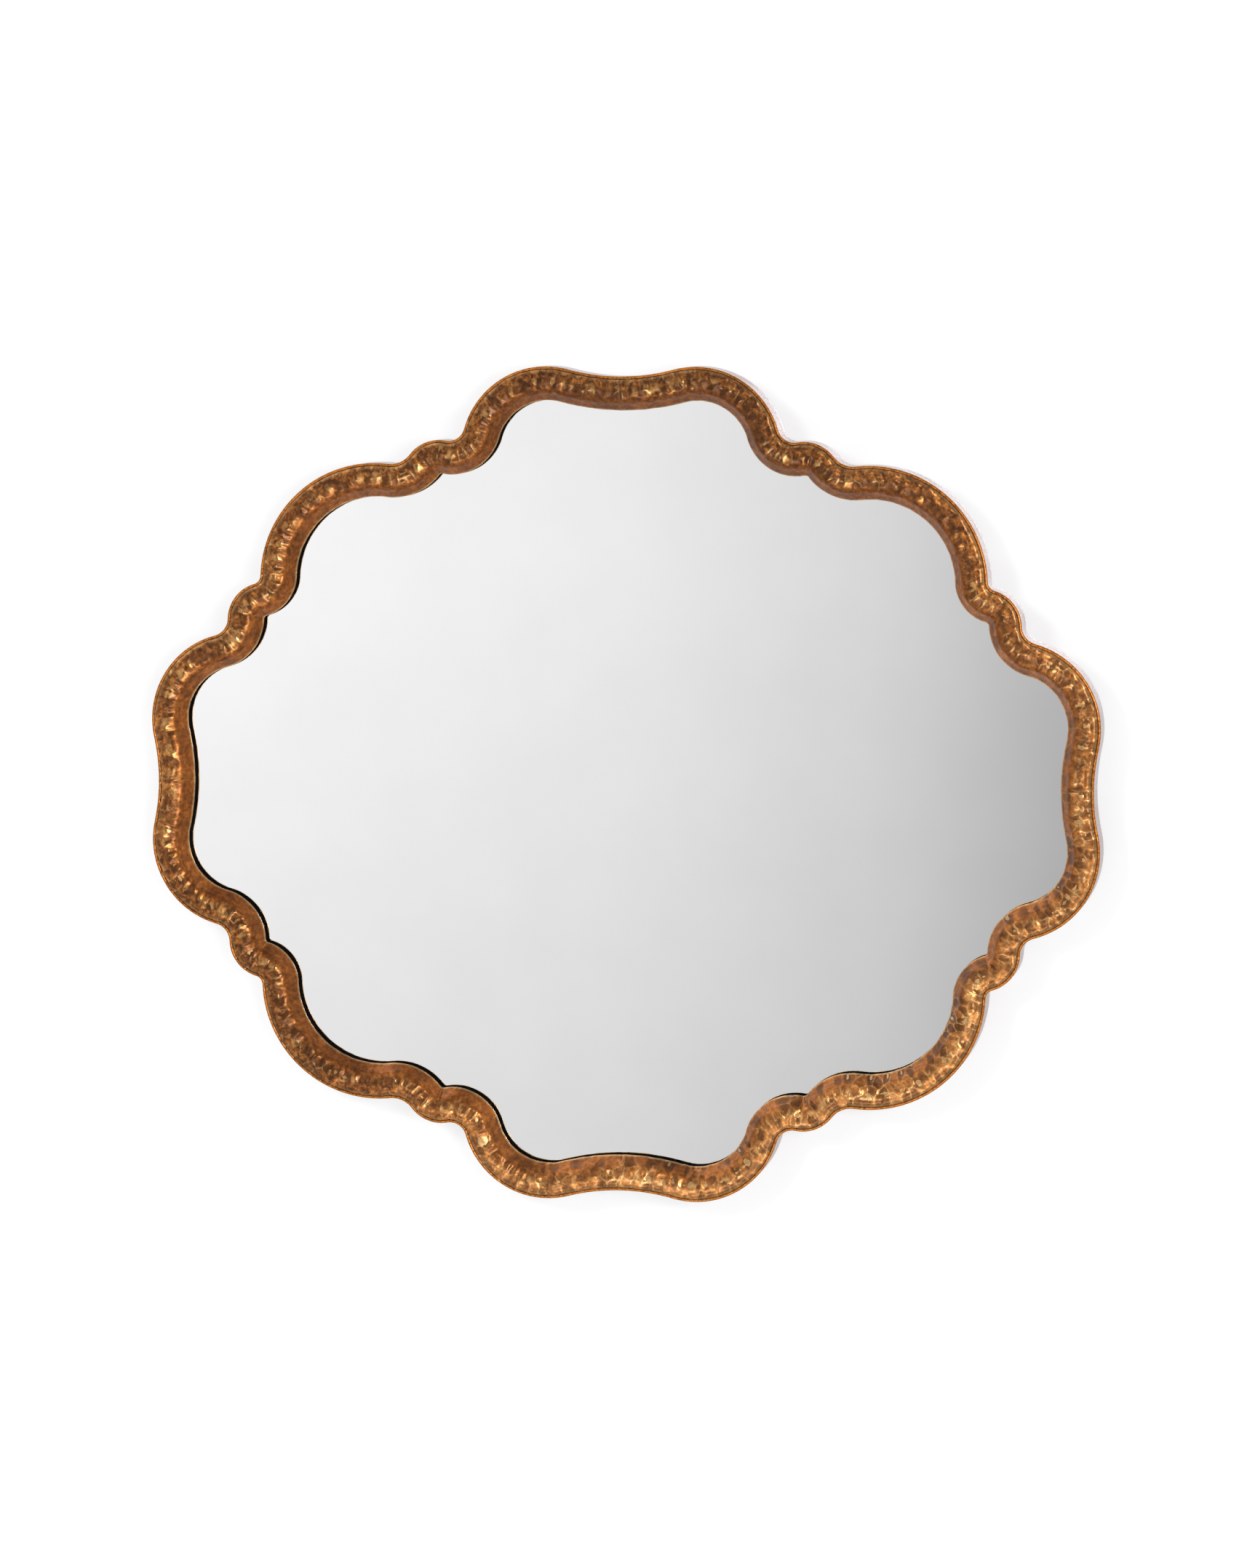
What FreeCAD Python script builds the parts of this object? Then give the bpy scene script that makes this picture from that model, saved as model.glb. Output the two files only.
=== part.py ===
"""Wall mirror in a scalloped frame clad in hammered copper sheet.

The frame is a narrow band round the glass. Its outline is a chain of arcs that is the same in each
quarter. Every nested edge (core, rebate, glass, sight edge) is the same chain set inwards.
X runs to the right, Y towards the wall and Z up. The origin is on the wall behind the mirror's middle.
Heights are measured from the wall towards the viewer, insets from the outermost edge inwards.
All lengths are in millimetres.
"""
import FreeCAD, Part
import math
import os

import Sketcher

Vector = FreeCAD.Vector
Rotation = FreeCAD.Rotation
Placement = FreeCAD.Placement

SIZES = {
    # Outline seen from the front
    "overall_width": 787.4,
    "overall_height": 685.8,
    "top_lobe_radius": 70.7,
    "shoulder_radius": 96.9,
    "side_lobe_radius": 72.3,
    "top_dip_depth": 8.1,
    "side_dip_depth": 5.4,
    "lobe_valley_radius": 13.5,
    "upper_valley_radius": 20.2,
    "lower_valley_radius": 7.4,
    "side_valley_radius": 15.0,
    "cusp_radius": 3.0,
    # Centres of the bulging arcs, as shares of half the width and half the height
    "top_lobe_across_share": 0.157,
    "upper_bump_across_share": 0.383,
    "upper_bump_up_share": 0.733,
    "shoulder_across_share": 0.519,
    "shoulder_up_share": 0.485,
    "side_bump_across_share": 0.757,
    "side_bump_up_share": 0.388,
    "side_lobe_up_share": 0.146,
    # Section of the band
    "band_width": 28.0,
    "wall_gap": 6.0,
    "back_core_thickness": 12.0,
    "front_core_thickness": 22.0,
    "crown_inset": 9.5,
    "crown_over_ledge": 3.9,
    "inner_crown_radius": 16.0,
    "sight_wall_height": 6.8,
    "hem_depth": 1.2,
    "face_thickness": 0.7,
    "strip_thickness": 0.7,
    "bead_radius": 1.2,
    "bead_rise": 1.0,
    "groove_width": 0.6,
    "flange_width": 5.5,
    # Glass, foam and backing in the rebate
    "rebate_inset": 19.5,
    "glass_clearance": 1.5,
    "glass_thickness": 4.0,
    "foam_thickness": 1.5,
    "board_thickness": 3.0,
    "shim_length": 24.0,
    "core_joint_angle": 45.0,
    # Flat points that hold the board
    "point_thickness": 0.5,
    "point_width": 7.0,
    "point_length": 12.0,
    "point_bite": 5.0,
    "point_tip": 2.5,
    "point_spacing": 95.0,
    # Nails through the back flange
    "nail_inset": 3.0,
    "nail_head_radius": 1.25,
    "nail_head_thickness": 0.5,
    "nail_shank_radius": 0.6,
    "nail_length": 9.0,
    "nail_spacing": 52.0,
    # Strap hangers
    "hanger_inset": 13.5,
    "hanger_rise": 8.0,
    "hanger_keepout": 19.0,
    "strap_width": 10.0,
    "strap_length": 26.0,
    "strap_thickness": 1.2,
    "strap_corner_radius": 3.0,
    "fold_length": 8.0,
    "ring_wire_radius": 1.1,
    "ring_clearance": 0.08,
    "ring_half_width": 8.1,
    "ring_arm": 4.0,
    "ring_corner_radius": 2.0,
    # Screws of the hangers
    "first_screw": 11.5,
    "screw_pitch": 9.5,
    "screw_hole_radius": 1.8,
    "screw_shank_radius": 1.4,
    "screw_head_radius": 2.9,
    "screw_head_height": 1.8,
    "screw_head_edge": 0.7,
    "screw_length": 11.0,
    "screw_tip": 2.5,
    "cross_length": 3.4,
    "cross_width": 0.9,
    "cross_depth": 0.9,
    # Bumpers
    "bumper_radius": 5.5,
    "bumper_rounding": 0.8,
    "bumper_inset": 12.5,
    "bumper_arc_share": 0.3,
}

doc = FreeCAD.newDocument("scalloped_mirror")
sheet = doc.addObject("Spreadsheet::Sheet", "Dims")
for row, (alias, value) in enumerate(SIZES.items(), start=1):
    sheet.set("A%d" % row, alias)
    sheet.set("B%d" % row, str(value))
    sheet.setAlias("B%d" % row, alias)
doc.recompute()


def size(alias):
    """A driving dimension, as the sheet holds it."""
    return float(sheet.get(alias))


# Heights and insets that follow from the driving dimensions

SEAT = size("wall_gap") + size("back_core_thickness")
CROWN = SEAT + size("front_core_thickness") + size("face_thickness")
LEDGE = CROWN - size("crown_over_ledge")
HEM_EDGE = SEAT + size("sight_wall_height")
LIP = HEM_EDGE + size("hem_depth")
GROOVE_INSET = 2 * size("bead_radius") + size("groove_width")
CORE_SIGHT_INSET = size("band_width") - size("face_thickness")
GLASS_INSET = size("rebate_inset") + size("glass_clearance")
BOARD_BACK = SEAT - size("glass_thickness") - size("foam_thickness") - size("board_thickness")
BUMP_RADIUS = size("band_width") + size("cusp_radius")
KNUCKLE_HOLE = size("ring_wire_radius") + size("ring_clearance")
KNUCKLE_RADIUS = KNUCKLE_HOLE + size("strap_thickness")

# The same, written for the sheet

HALF_WIDTH = "Dims.overall_width / 2"
HALF_HEIGHT = "Dims.overall_height / 2"
SEAT_CELLS = "Dims.wall_gap + Dims.back_core_thickness"
GLASS_INSET_CELLS = "(Dims.rebate_inset + Dims.glass_clearance)"
GLASS_BACK_CELLS = SEAT_CELLS + " - Dims.glass_thickness"
FOAM_BACK_CELLS = GLASS_BACK_CELLS + " - Dims.foam_thickness"
BOARD_BACK_CELLS = FOAM_BACK_CELLS + " - Dims.board_thickness"
KNUCKLE_HOLE_CELLS = "Dims.ring_wire_radius + Dims.ring_clearance"
KNUCKLE_RADIUS_CELLS = "Dims.ring_wire_radius + Dims.ring_clearance + Dims.strap_thickness"


class Arc:
    """One arc of the outline, walked clockwise as seen from the front."""

    def __init__(self, centre, radius, bulges, cells):
        self.centre = centre
        self.radius = radius
        self.bulges = bulges
        self.cells = cells
        self.enter = None
        self.leave = None

    def part(self, enter, leave):
        """The same arc between two other angles."""
        piece = Arc(self.centre, self.radius, self.bulges, self.cells)
        piece.enter = enter
        piece.leave = leave
        return piece

    def inset_radius(self, inset):
        return self.radius - inset if self.bulges else self.radius + inset

    def point(self, angle, inset):
        reach = self.inset_radius(inset)
        return self.centre + Vector(reach * math.cos(angle), 0, reach * math.sin(angle))

    def outward(self, angle):
        """Direction away from the band's inner side."""
        sign = 1 if self.bulges else -1
        return Vector(sign * math.cos(angle), 0, sign * math.sin(angle))

    def length(self, inset):
        return abs(self.leave - self.enter) * self.inset_radius(inset)

    def at_share(self, share):
        return self.enter + share * (self.leave - self.enter)

    def mirrored(self, side, level):
        """The arc in another quarter: side and level are 1 or -1. A single mirror turns the walk round."""
        def turned(angle):
            return math.atan2(level * math.sin(angle), side * math.cos(angle))
        centre = Vector(side * self.centre.x, 0, level * self.centre.z)
        ends = [turned(self.enter), turned(self.leave)]
        if side * level < 0:
            ends.reverse()
        enter, leave = ends
        full = 2 * math.pi
        sweep = (enter - leave) % full if self.bulges else (leave - enter) % full
        leave = enter - sweep if self.bulges else enter + sweep
        image = Arc(centre, self.radius, self.bulges, self.cells)
        return image.part(enter, leave)


def lobe(across, up, radius, cells):
    return Arc(Vector(across, 0, up), radius, True, cells)


def valley(before, after, alias):
    """The hollow arc of the sheet's radius that touches two bulging arcs from outside."""
    radius = size(alias)
    reach = before.radius + radius
    other = after.radius + radius
    apart = after.centre - before.centre
    gap = apart.Length
    along = (reach ** 2 - other ** 2 + gap ** 2) / (2 * gap)
    aside = math.sqrt(reach ** 2 - along ** 2)
    across = Vector(-apart.z, 0, apart.x) / gap
    centre = before.centre + apart * (along / gap) + across * aside
    return Arc(centre, radius, False, {"radius": "Dims." + alias})


def dip_radius(offset, lobe_radius, depth):
    """Radius of the hollow arc on an axis that sinks by depth between two lobes at offset from it."""
    low = lobe_radius - depth
    return (offset ** 2 + low ** 2 - lobe_radius ** 2) / (2 * depth)


def quarter_outline():
    """The twelve arcs of the top right quarter, from the top middle to the right middle."""
    half_width = size("overall_width") / 2
    half_height = size("overall_height") / 2

    def cells(radius, across, up):
        return {"radius": radius, "across": across, "up": up}

    def share_cells(radius, name):
        across = "%s * Dims.%s_across_share" % (HALF_WIDTH, name)
        up = "%s * Dims.%s_up_share" % (HALF_HEIGHT, name)
        return cells(radius, across, up)

    def centre(name):
        return half_width * size(name + "_across_share"), half_height * size(name + "_up_share")

    bump_cells = "(Dims.band_width + Dims.cusp_radius)"
    top_lobe = lobe(half_width * size("top_lobe_across_share"), half_height - size("top_lobe_radius"),
                    size("top_lobe_radius"),
                    cells("Dims.top_lobe_radius", HALF_WIDTH + " * Dims.top_lobe_across_share",
                          HALF_HEIGHT + " - Dims.top_lobe_radius"))
    upper_bump = lobe(*centre("upper_bump"), BUMP_RADIUS, share_cells(bump_cells, "upper_bump"))
    shoulder = lobe(*centre("shoulder"), size("shoulder_radius"),
                    share_cells("Dims.shoulder_radius", "shoulder"))
    side_bump = lobe(*centre("side_bump"), BUMP_RADIUS, share_cells(bump_cells, "side_bump"))
    side_lobe = lobe(half_width - size("side_lobe_radius"), half_height * size("side_lobe_up_share"),
                     size("side_lobe_radius"),
                     cells("Dims.side_lobe_radius", HALF_WIDTH + " - Dims.side_lobe_radius",
                           HALF_HEIGHT + " * Dims.side_lobe_up_share"))

    top_radius = dip_radius(top_lobe.centre.x, top_lobe.radius, size("top_dip_depth"))
    top_centre = Vector(0, 0, half_height - size("top_dip_depth") + top_radius)
    top_dip = Arc(top_centre, top_radius, False, {"axis": "up", "depth": "Dims.top_dip_depth"})
    side_radius = dip_radius(side_lobe.centre.z, side_lobe.radius, size("side_dip_depth"))
    side_centre = Vector(half_width - size("side_dip_depth") + side_radius, 0, 0)
    side_dip = Arc(side_centre, side_radius, False, {"axis": "across", "depth": "Dims.side_dip_depth"})

    chain = [top_dip,
             top_lobe, valley(top_lobe, upper_bump, "lobe_valley_radius"),
             upper_bump, valley(upper_bump, shoulder, "upper_valley_radius"),
             shoulder, valley(shoulder, side_bump, "lower_valley_radius"),
             side_bump, valley(side_bump, side_lobe, "side_valley_radius"),
             side_lobe, side_dip]
    for before, after in zip(chain, chain[1:]):
        towards = after.centre - before.centre
        before.leave = math.atan2(towards.z, towards.x)
        after.enter = math.atan2(-towards.z, -towards.x)
    top_dip.enter = -math.pi / 2
    side_dip.leave = math.pi
    for arc in chain:
        sweep = arc.enter - arc.leave if arc.bulges else arc.leave - arc.enter
        sweep %= 2 * math.pi
        arc.leave = arc.enter - sweep if arc.bulges else arc.enter + sweep
    middle = chain.index(shoulder)
    joint = math.radians(size("core_joint_angle"))
    halves = [shoulder.part(shoulder.enter, joint), shoulder.part(joint, shoulder.leave)]
    return chain[:middle] + halves + chain[middle + 1:]


QUARTER = quarter_outline()
HALF_COUNT = len(QUARTER) // 2
UPPER_HALF = QUARTER[:HALF_COUNT]
LOWER_HALF = QUARTER[HALF_COUNT:]
CORNERS = {"top_right": (1, 1), "bottom_right": (1, -1), "bottom_left": (-1, -1), "top_left": (-1, 1)}


def arcs_in(arcs, side, level):
    """A run of arcs in one of the four quarters, still walked clockwise."""
    images = [arc.mirrored(side, level) for arc in arcs]
    if side * level < 0:
        images.reverse()
    return images


def stations(arcs, inset, spacing):
    """Evenly spaced places along a run of arcs: a point at the inset and the outward direction."""
    total = sum(arc.length(inset) for arc in arcs)
    count = max(1, round(total / spacing))
    places = []
    for step in range(count):
        target = total * (step + 0.5) / count
        for arc in arcs:
            run = arc.length(inset)
            if target <= run:
                angle = arc.at_share(target / run)
                places.append((arc.point(angle, inset), arc.outward(angle)))
                break
            target -= run
    return places


# Hangers: where each one sits on the back, and how far it is turned

def hanger_places():
    """Middle of each ring's bar as seen from the front, and the turn that points its ring upwards in use."""
    reach = size("overall_width") / 2 - size("hanger_inset")
    level = size("overall_height") / 2 * size("side_lobe_up_share") + size("hanger_rise")
    rise = size("overall_height") / 2 - size("hanger_inset")
    along = size("overall_width") / 2 * size("top_lobe_across_share") + size("hanger_rise")
    quarter_turn = 90
    return {"right": (reach, level, 0), "left": (-reach, level, 0),
            "upper": (along, rise, quarter_turn), "lower": (along, -rise, quarter_turn)}


HANGERS = hanger_places()


def turned_about_y(degrees):
    return Rotation(Vector(0, 1, 0), degrees)


def hanger_placement(name):
    across, up, turn = HANGERS[name]
    return Placement(Vector(across, -size("wall_gap"), up), turned_about_y(turn))


# The four pieces of the back layer. Each is drawn as half a piece at the top or right, mirrored,
# and turned round by half a turn for the bottom and the left.

BACK_PIECES = {
    "top": {"half": UPPER_HALF, "images": [(1, 1), (-1, 1)], "mirror": "YZ_Plane", "turn": 0,
            "hanger": "upper"},
    "right": {"half": LOWER_HALF, "images": [(1, 1), (1, -1)], "mirror": "XY_Plane", "turn": 0,
              "hanger": "right"},
    "bottom": {"half": UPPER_HALF, "images": [(1, 1), (-1, 1)], "mirror": "YZ_Plane", "turn": 180,
               "hanger": "lower"},
    "left": {"half": LOWER_HALF, "images": [(1, 1), (1, -1)], "mirror": "XY_Plane", "turn": 180,
             "hanger": "left"},
}


def piece_stations(piece, inset, spacing):
    """Stations on a back piece, in the piece's own place before its turn."""
    places = []
    for side, level in piece["images"]:
        places += stations(arcs_in(piece["half"], side, level), inset, spacing)
    return places


def nail_places(piece):
    """Nails on one back piece, left out where a hanger's ring lies."""
    turn = turned_about_y(piece["turn"])
    places = []
    for point, _ in piece_stations(piece, size("nail_inset"), size("nail_spacing")):
        seen = turn.multVec(point)
        reaches = [math.hypot(seen.x - across, seen.z - up) for across, up, _ in HANGERS.values()]
        if min(reaches) > size("hanger_keepout"):
            places.append(point)
    return places


def on_whole_frame(places_of_piece):
    """Places of all four back pieces, turned to where they lie on the mirror."""
    found = []
    for piece in BACK_PIECES.values():
        turn = turned_about_y(piece["turn"])
        found += [turn.multVec(point) for point in places_of_piece(piece)]
    return found


# Sketches

def body_named(label):
    body = doc.addObject("PartDesign::Body", label)
    body.Label = label
    return body


def plane_of(body, role):
    return next(item for item in body.Origin.OriginFeatures if item.Role == role)


def sketch_on(body, role, name, height=None):
    """A sketch on one of the body's own planes, raised by the cells that height names."""
    sketch = body.newObject("Sketcher::SketchObject", "%s_%s" % (body.Label, name))
    sketch.AttachmentSupport = (plane_of(body, role), [""])
    sketch.MapMode = "FlatFace"
    if height:
        sketch.setExpression("AttachmentOffset.Base.z", height)
    return sketch


def hold(sketch, kind, *where, cells=None):
    """Add a constraint, and bind its value to the sheet if cells are given."""
    index = sketch.addConstraint(Sketcher.Constraint(kind, *where))
    if cells:
        sketch.setExpression("Constraints[%d]" % index, cells)


def flat(point):
    """A point of the front view in a sketch's own coordinates."""
    return Vector(point.x, point.z, 0)


def draw_line(sketch, start, end):
    return sketch.addGeometry(Part.LineSegment(start, end))


def draw_circle(sketch, centre, radius, cells):
    number = sketch.addGeometry(Part.Circle(centre, Vector(0, 0, 1), radius))
    hold(sketch, "Radius", number, radius, cells=cells)
    return number


def draw_loop(sketch, corners):
    """A closed run of straight lines."""
    lines = [draw_line(sketch, a, b) for a, b in zip(corners, corners[1:] + corners[:1])]
    for line, following in zip(lines, lines[1:] + lines[:1]):
        hold(sketch, "Coincident", line, 2, following, 1)
    return lines


def draw_walk(sketch, arcs, inset, inset_cells):
    """A run of outline arcs, each tangent to the next. Gives (number, entering end, leaving end)."""
    walked = []
    for arc in arcs:
        radius = arc.inset_radius(inset)
        circle = Part.Circle(flat(arc.centre), Vector(0, 0, 1), radius)
        low, high = sorted((arc.enter, arc.leave))
        number = sketch.addGeometry(Part.ArcOfCircle(circle, low, high))
        ends = (2, 1) if arc.bulges else (1, 2)
        walked.append((number,) + ends)
        if "radius" in arc.cells:
            sign = "-" if arc.bulges else "+"
            cells = "%s %s %s" % (arc.cells["radius"], sign, inset_cells)
            hold(sketch, "Radius", number, radius, cells=cells)
        if "across" in arc.cells:
            hold(sketch, "DistanceX", -1, 1, number, 3, arc.centre.x, cells=arc.cells["across"])
            hold(sketch, "DistanceY", -1, 1, number, 3, arc.centre.z, cells=arc.cells["up"])
        if arc.cells.get("axis") == "up":
            hold(sketch, "PointOnObject", number, 3, -2)
            low_point = arc.point(arc.enter, inset)
            cells = "%s - %s - %s" % (HALF_HEIGHT, arc.cells["depth"], inset_cells)
            hold(sketch, "DistanceY", -1, 1, number, ends[0], low_point.z, cells=cells)
        if arc.cells.get("axis") == "across":
            hold(sketch, "PointOnObject", number, 3, -1)
            low_point = arc.point(arc.leave, inset)
            cells = "%s - %s - %s" % (HALF_WIDTH, arc.cells["depth"], inset_cells)
            hold(sketch, "DistanceX", -1, 1, number, ends[1], low_point.x, cells=cells)
    for before, after in zip(walked, walked[1:]):
        hold(sketch, "Tangent", before[0], before[2], after[0], after[1])
    return walked


def pad(body, sketch, cells):
    feature = body.newObject("PartDesign::Pad", body.Label + "_pad")
    feature.Profile = sketch
    feature.setExpression("Length", cells)
    return feature


def mirror_body(body, role, name):
    """Mirror all that the body holds so far. The feature needs its base computed first."""
    doc.recompute()
    feature = body.newObject("PartDesign::Mirrored", "%s_%s" % (body.Label, name))
    feature.TransformMode = "Whole shape"
    feature.MirrorPlane = (plane_of(body, role), [""])
    body.Tip = feature
    return feature


def pocket_forwards(body, sketch, cells):
    """Cut from the sketch towards the viewer. The volume must drop."""
    doc.recompute()
    before = body.Shape.Volume
    feature = body.newObject("PartDesign::Pocket", sketch.Label + "_pocket")
    feature.Profile = sketch
    feature.Reversed = True
    feature.setExpression("Length", cells)
    body.Tip = feature
    doc.recompute()
    if body.Shape.Volume >= before:
        raise RuntimeError(body.Label + ": a pocket cut nothing")
    return feature


# Flat plates with the whole outline

def outline_plate(label, height_cells, thickness_cells):
    """A plate as large as the glass. Its quarter is sketched and then mirrored twice."""
    body = body_named(label)
    sketch = sketch_on(body, "XZ_Plane", "quarter", height_cells)
    arcs = UPPER_HALF[:-1] + [whole_shoulder()] + LOWER_HALF[1:]
    walked = draw_walk(sketch, arcs, GLASS_INSET, GLASS_INSET_CELLS)
    first, last = walked[0], walked[-1]
    top = flat(arcs[0].point(arcs[0].enter, GLASS_INSET))
    right = flat(arcs[-1].point(arcs[-1].leave, GLASS_INSET))
    level_line = draw_line(sketch, right, Vector(0, 0, 0))
    upright_line = draw_line(sketch, Vector(0, 0, 0), top)
    hold(sketch, "Coincident", last[0], last[2], level_line, 1)
    hold(sketch, "Coincident", level_line, 2, -1, 1)
    hold(sketch, "Coincident", upright_line, 1, -1, 1)
    hold(sketch, "Coincident", upright_line, 2, first[0], first[1])
    hold(sketch, "Horizontal", level_line)
    hold(sketch, "Vertical", upright_line)
    pad(body, sketch, thickness_cells)
    mirror_body(body, "YZ_Plane", "left_half")
    mirror_body(body, "XY_Plane", "lower_half")
    return body


def whole_shoulder():
    """The shoulder arc before the core's joint divides it."""
    upper, lower = UPPER_HALF[-1], LOWER_HALF[0]
    return upper.part(upper.enter, lower.leave)


def make_glass():
    return outline_plate("mirror_glass", GLASS_BACK_CELLS, "Dims.glass_thickness")


def make_foam():
    return outline_plate("foam_sheet", FOAM_BACK_CELLS, "Dims.foam_thickness")


def make_board():
    return outline_plate("backing_board", BOARD_BACK_CELLS, "Dims.board_thickness")


# Back layer of the core

def point_outline(point, outward):
    """Corners of a flat glazing point: a blunt end over the board and a tip in the wood."""
    aside = Vector(-outward.z, 0, outward.x) * (size("point_width") / 2)
    inner = point + outward * (size("point_bite") - size("point_length"))
    neck = point + outward * (size("point_bite") - size("point_tip"))
    tip = point + outward * size("point_bite")
    return [inner - aside, neck - aside, tip, neck + aside, inner + aside]


def close_end(sketch, arc, edge, outer, inner):
    """The straight end of half a back piece, from its inner to its outer edge."""
    angle = getattr(arc, edge)
    start = flat(arc.point(angle, size("rebate_inset")))
    end = flat(arc.point(angle, size("strip_thickness")))
    line = draw_line(sketch, start, end)
    side = 1 if edge == "enter" else 2
    hold(sketch, "Coincident", inner[0], inner[side], line, 1)
    hold(sketch, "Coincident", outer[0], outer[side], line, 2)
    if arc.cells.get("axis") == "up":
        hold(sketch, "PointOnObject", line, 1, -2)
        hold(sketch, "Vertical", line)
    elif arc.cells.get("axis") == "across":
        hold(sketch, "PointOnObject", line, 1, -1)
        hold(sketch, "Horizontal", line)
    else:
        hold(sketch, "PointOnObject", outer[0], 3, line)
        hold(sketch, "Angle", line, angle, cells="Dims.core_joint_angle * 1 deg")


def make_back_core(name):
    piece = BACK_PIECES[name]
    half = piece["half"]
    body = body_named("back_core_" + name)
    sketch = sketch_on(body, "XZ_Plane", "half", "Dims.wall_gap")
    outer = draw_walk(sketch, half, size("strip_thickness"), "Dims.strip_thickness")
    inner = draw_walk(sketch, half, size("rebate_inset"), "Dims.rebate_inset")
    close_end(sketch, half[0], "enter", outer[0], inner[0])
    close_end(sketch, half[-1], "leave", outer[-1], inner[-1])
    pad(body, sketch, "Dims.back_core_thickness")
    mirror_body(body, piece["mirror"], "other_half")

    nails = sketch_on(body, "XZ_Plane", "nail_holes", "Dims.wall_gap")
    for point in nail_places(piece):
        draw_circle(nails, flat(point), size("nail_shank_radius"), "Dims.nail_shank_radius")
    pocket_forwards(body, nails, "Dims.nail_length - Dims.strip_thickness")

    screws = sketch_on(body, "XZ_Plane", "screw_holes", "Dims.wall_gap")
    to_piece = turned_about_y(-piece["turn"])
    for number in range(2):
        down = size("first_screw") + number * size("screw_pitch")
        seen = hanger_placement(piece["hanger"]).multVec(Vector(0, 0, -down))
        draw_circle(screws, flat(to_piece.multVec(seen)), size("screw_shank_radius"),
                    "Dims.screw_shank_radius")
    pocket_forwards(body, screws, "Dims.screw_length - Dims.strap_thickness")

    slots = sketch_on(body, "XZ_Plane", "point_slots", BOARD_BACK_CELLS + " - Dims.point_thickness")
    for point, outward in piece_stations(piece, size("rebate_inset"), size("point_spacing")):
        draw_loop(slots, [flat(corner) for corner in point_outline(point, outward)])
    pocket_forwards(body, slots, "Dims.point_thickness")

    body.Placement = Placement(Vector(0, 0, 0), turned_about_y(piece["turn"]))
    return body


# Sections of the band, as an inset and a height for each corner, with an arc's middle where it bends

def tangent_from(point, centre, radius):
    """Angle on a circle where the line from a point at its right touches its upper side."""
    away = (point[0] - centre[0], point[1] - centre[1])
    return math.atan2(away[1], away[0]) + math.acos(radius / math.hypot(*away))


def on_circle(centre, radius, angle):
    return (centre[0] + radius * math.cos(angle), centre[1] + radius * math.sin(angle))


def hammered_curve(depth):
    """The line of the face sheet at a depth under its upper side, from the ledge to the sight edge.

    Gives the groove's corner, then a middle and an end for the two arcs over the crown, and the lip.
    """
    crown_inset = size("crown_inset")
    across = crown_inset - GROOVE_INSET
    drop = size("crown_over_ledge")
    outer_radius = (across ** 2 + drop ** 2) / (2 * drop)
    inner_radius = size("inner_crown_radius")
    outer_centre = (crown_inset, CROWN - outer_radius)
    inner_centre = (crown_inset, CROWN - inner_radius)
    touch = tangent_from((size("band_width"), LIP), inner_centre, inner_radius)

    radius = outer_radius - depth
    ledge = LEDGE - depth - outer_centre[1]
    start_angle = math.pi - math.asin(ledge / radius)
    upright = math.pi / 2
    corner = on_circle(outer_centre, radius, start_angle)
    rise = on_circle(outer_centre, radius, (start_angle + upright) / 2)
    crown = (crown_inset, CROWN - depth)
    fall = on_circle(inner_centre, inner_radius - depth, (touch + upright) / 2)
    slope = on_circle(inner_centre, inner_radius - depth, touch)
    run = size("band_width") - depth - slope[0]
    lip = (slope[0] + run, slope[1] - run * math.cos(touch) / math.sin(touch))
    return corner, rise, crown, fall, slope, lip


def face_section():
    """Sheet metal: ledge under the bead, crown, slope to the sight edge and a short turned-down hem."""
    thick = size("face_thickness")
    corner, rise, crown, fall, slope, lip = hammered_curve(0)
    low_corner, low_rise, low_crown, low_fall, low_slope, low_lip = hammered_curve(thick)
    return [(size("strip_thickness"), LEDGE),
            [corner], [rise, crown], [fall, slope], [lip],
            [(size("band_width"), HEM_EDGE)], [(CORE_SIGHT_INSET, HEM_EDGE)],
            [low_lip], [low_slope], [low_fall, low_crown], [low_rise, low_corner],
            [(size("strip_thickness"), LEDGE - thick)]]


def front_core_section():
    """The shaped board that fills the face sheet, down to the glass."""
    corner, rise, crown, fall, slope, lip = hammered_curve(size("face_thickness"))
    outer = size("strip_thickness")
    return [(outer, SEAT),
            [(outer, LEDGE - size("face_thickness"))],
            [corner], [rise, crown], [fall, slope], [lip],
            [(CORE_SIGHT_INSET, SEAT)]]


def strip_section():
    """The outer strip: a bead on the ledge in front, the smooth side, and the flange behind."""
    thick = size("strip_thickness")
    roll = size("bead_radius")
    roll_height = LEDGE + size("bead_rise")
    back = size("wall_gap")
    return [(0, roll_height),
            [(roll, roll_height + roll), (2 * roll, roll_height)],
            [(2 * roll, LEDGE)], [(thick, LEDGE)], [(thick, back)],
            [(size("flange_width"), back)], [(size("flange_width"), back - thick)],
            [(0, back - thick)]]


def shim_section():
    """A strip as thick as the gap between glass and rebate."""
    low = SEAT - size("glass_thickness")
    return [(size("rebate_inset"), low), [(size("rebate_inset"), SEAT)],
            [(GLASS_INSET, SEAT)], [(GLASS_INSET, low)]]


def section_wire(arc, angle, section):
    """The closed outline of a section, standing on the arc at an angle."""
    def stood(corner):
        inset, height = corner
        point = arc.point(angle, inset)
        return Vector(point.x, -height, point.z)

    here = stood(section[0])
    edges = []
    for step in section[1:] + [[section[0]]]:
        there = stood(step[-1])
        if len(step) == 2:
            edges.append(Part.Arc(here, stood(step[0]), there).toShape())
        else:
            edges.append(Part.makeLine(here, there))
        here = there
    return Part.Wire(edges)


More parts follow.
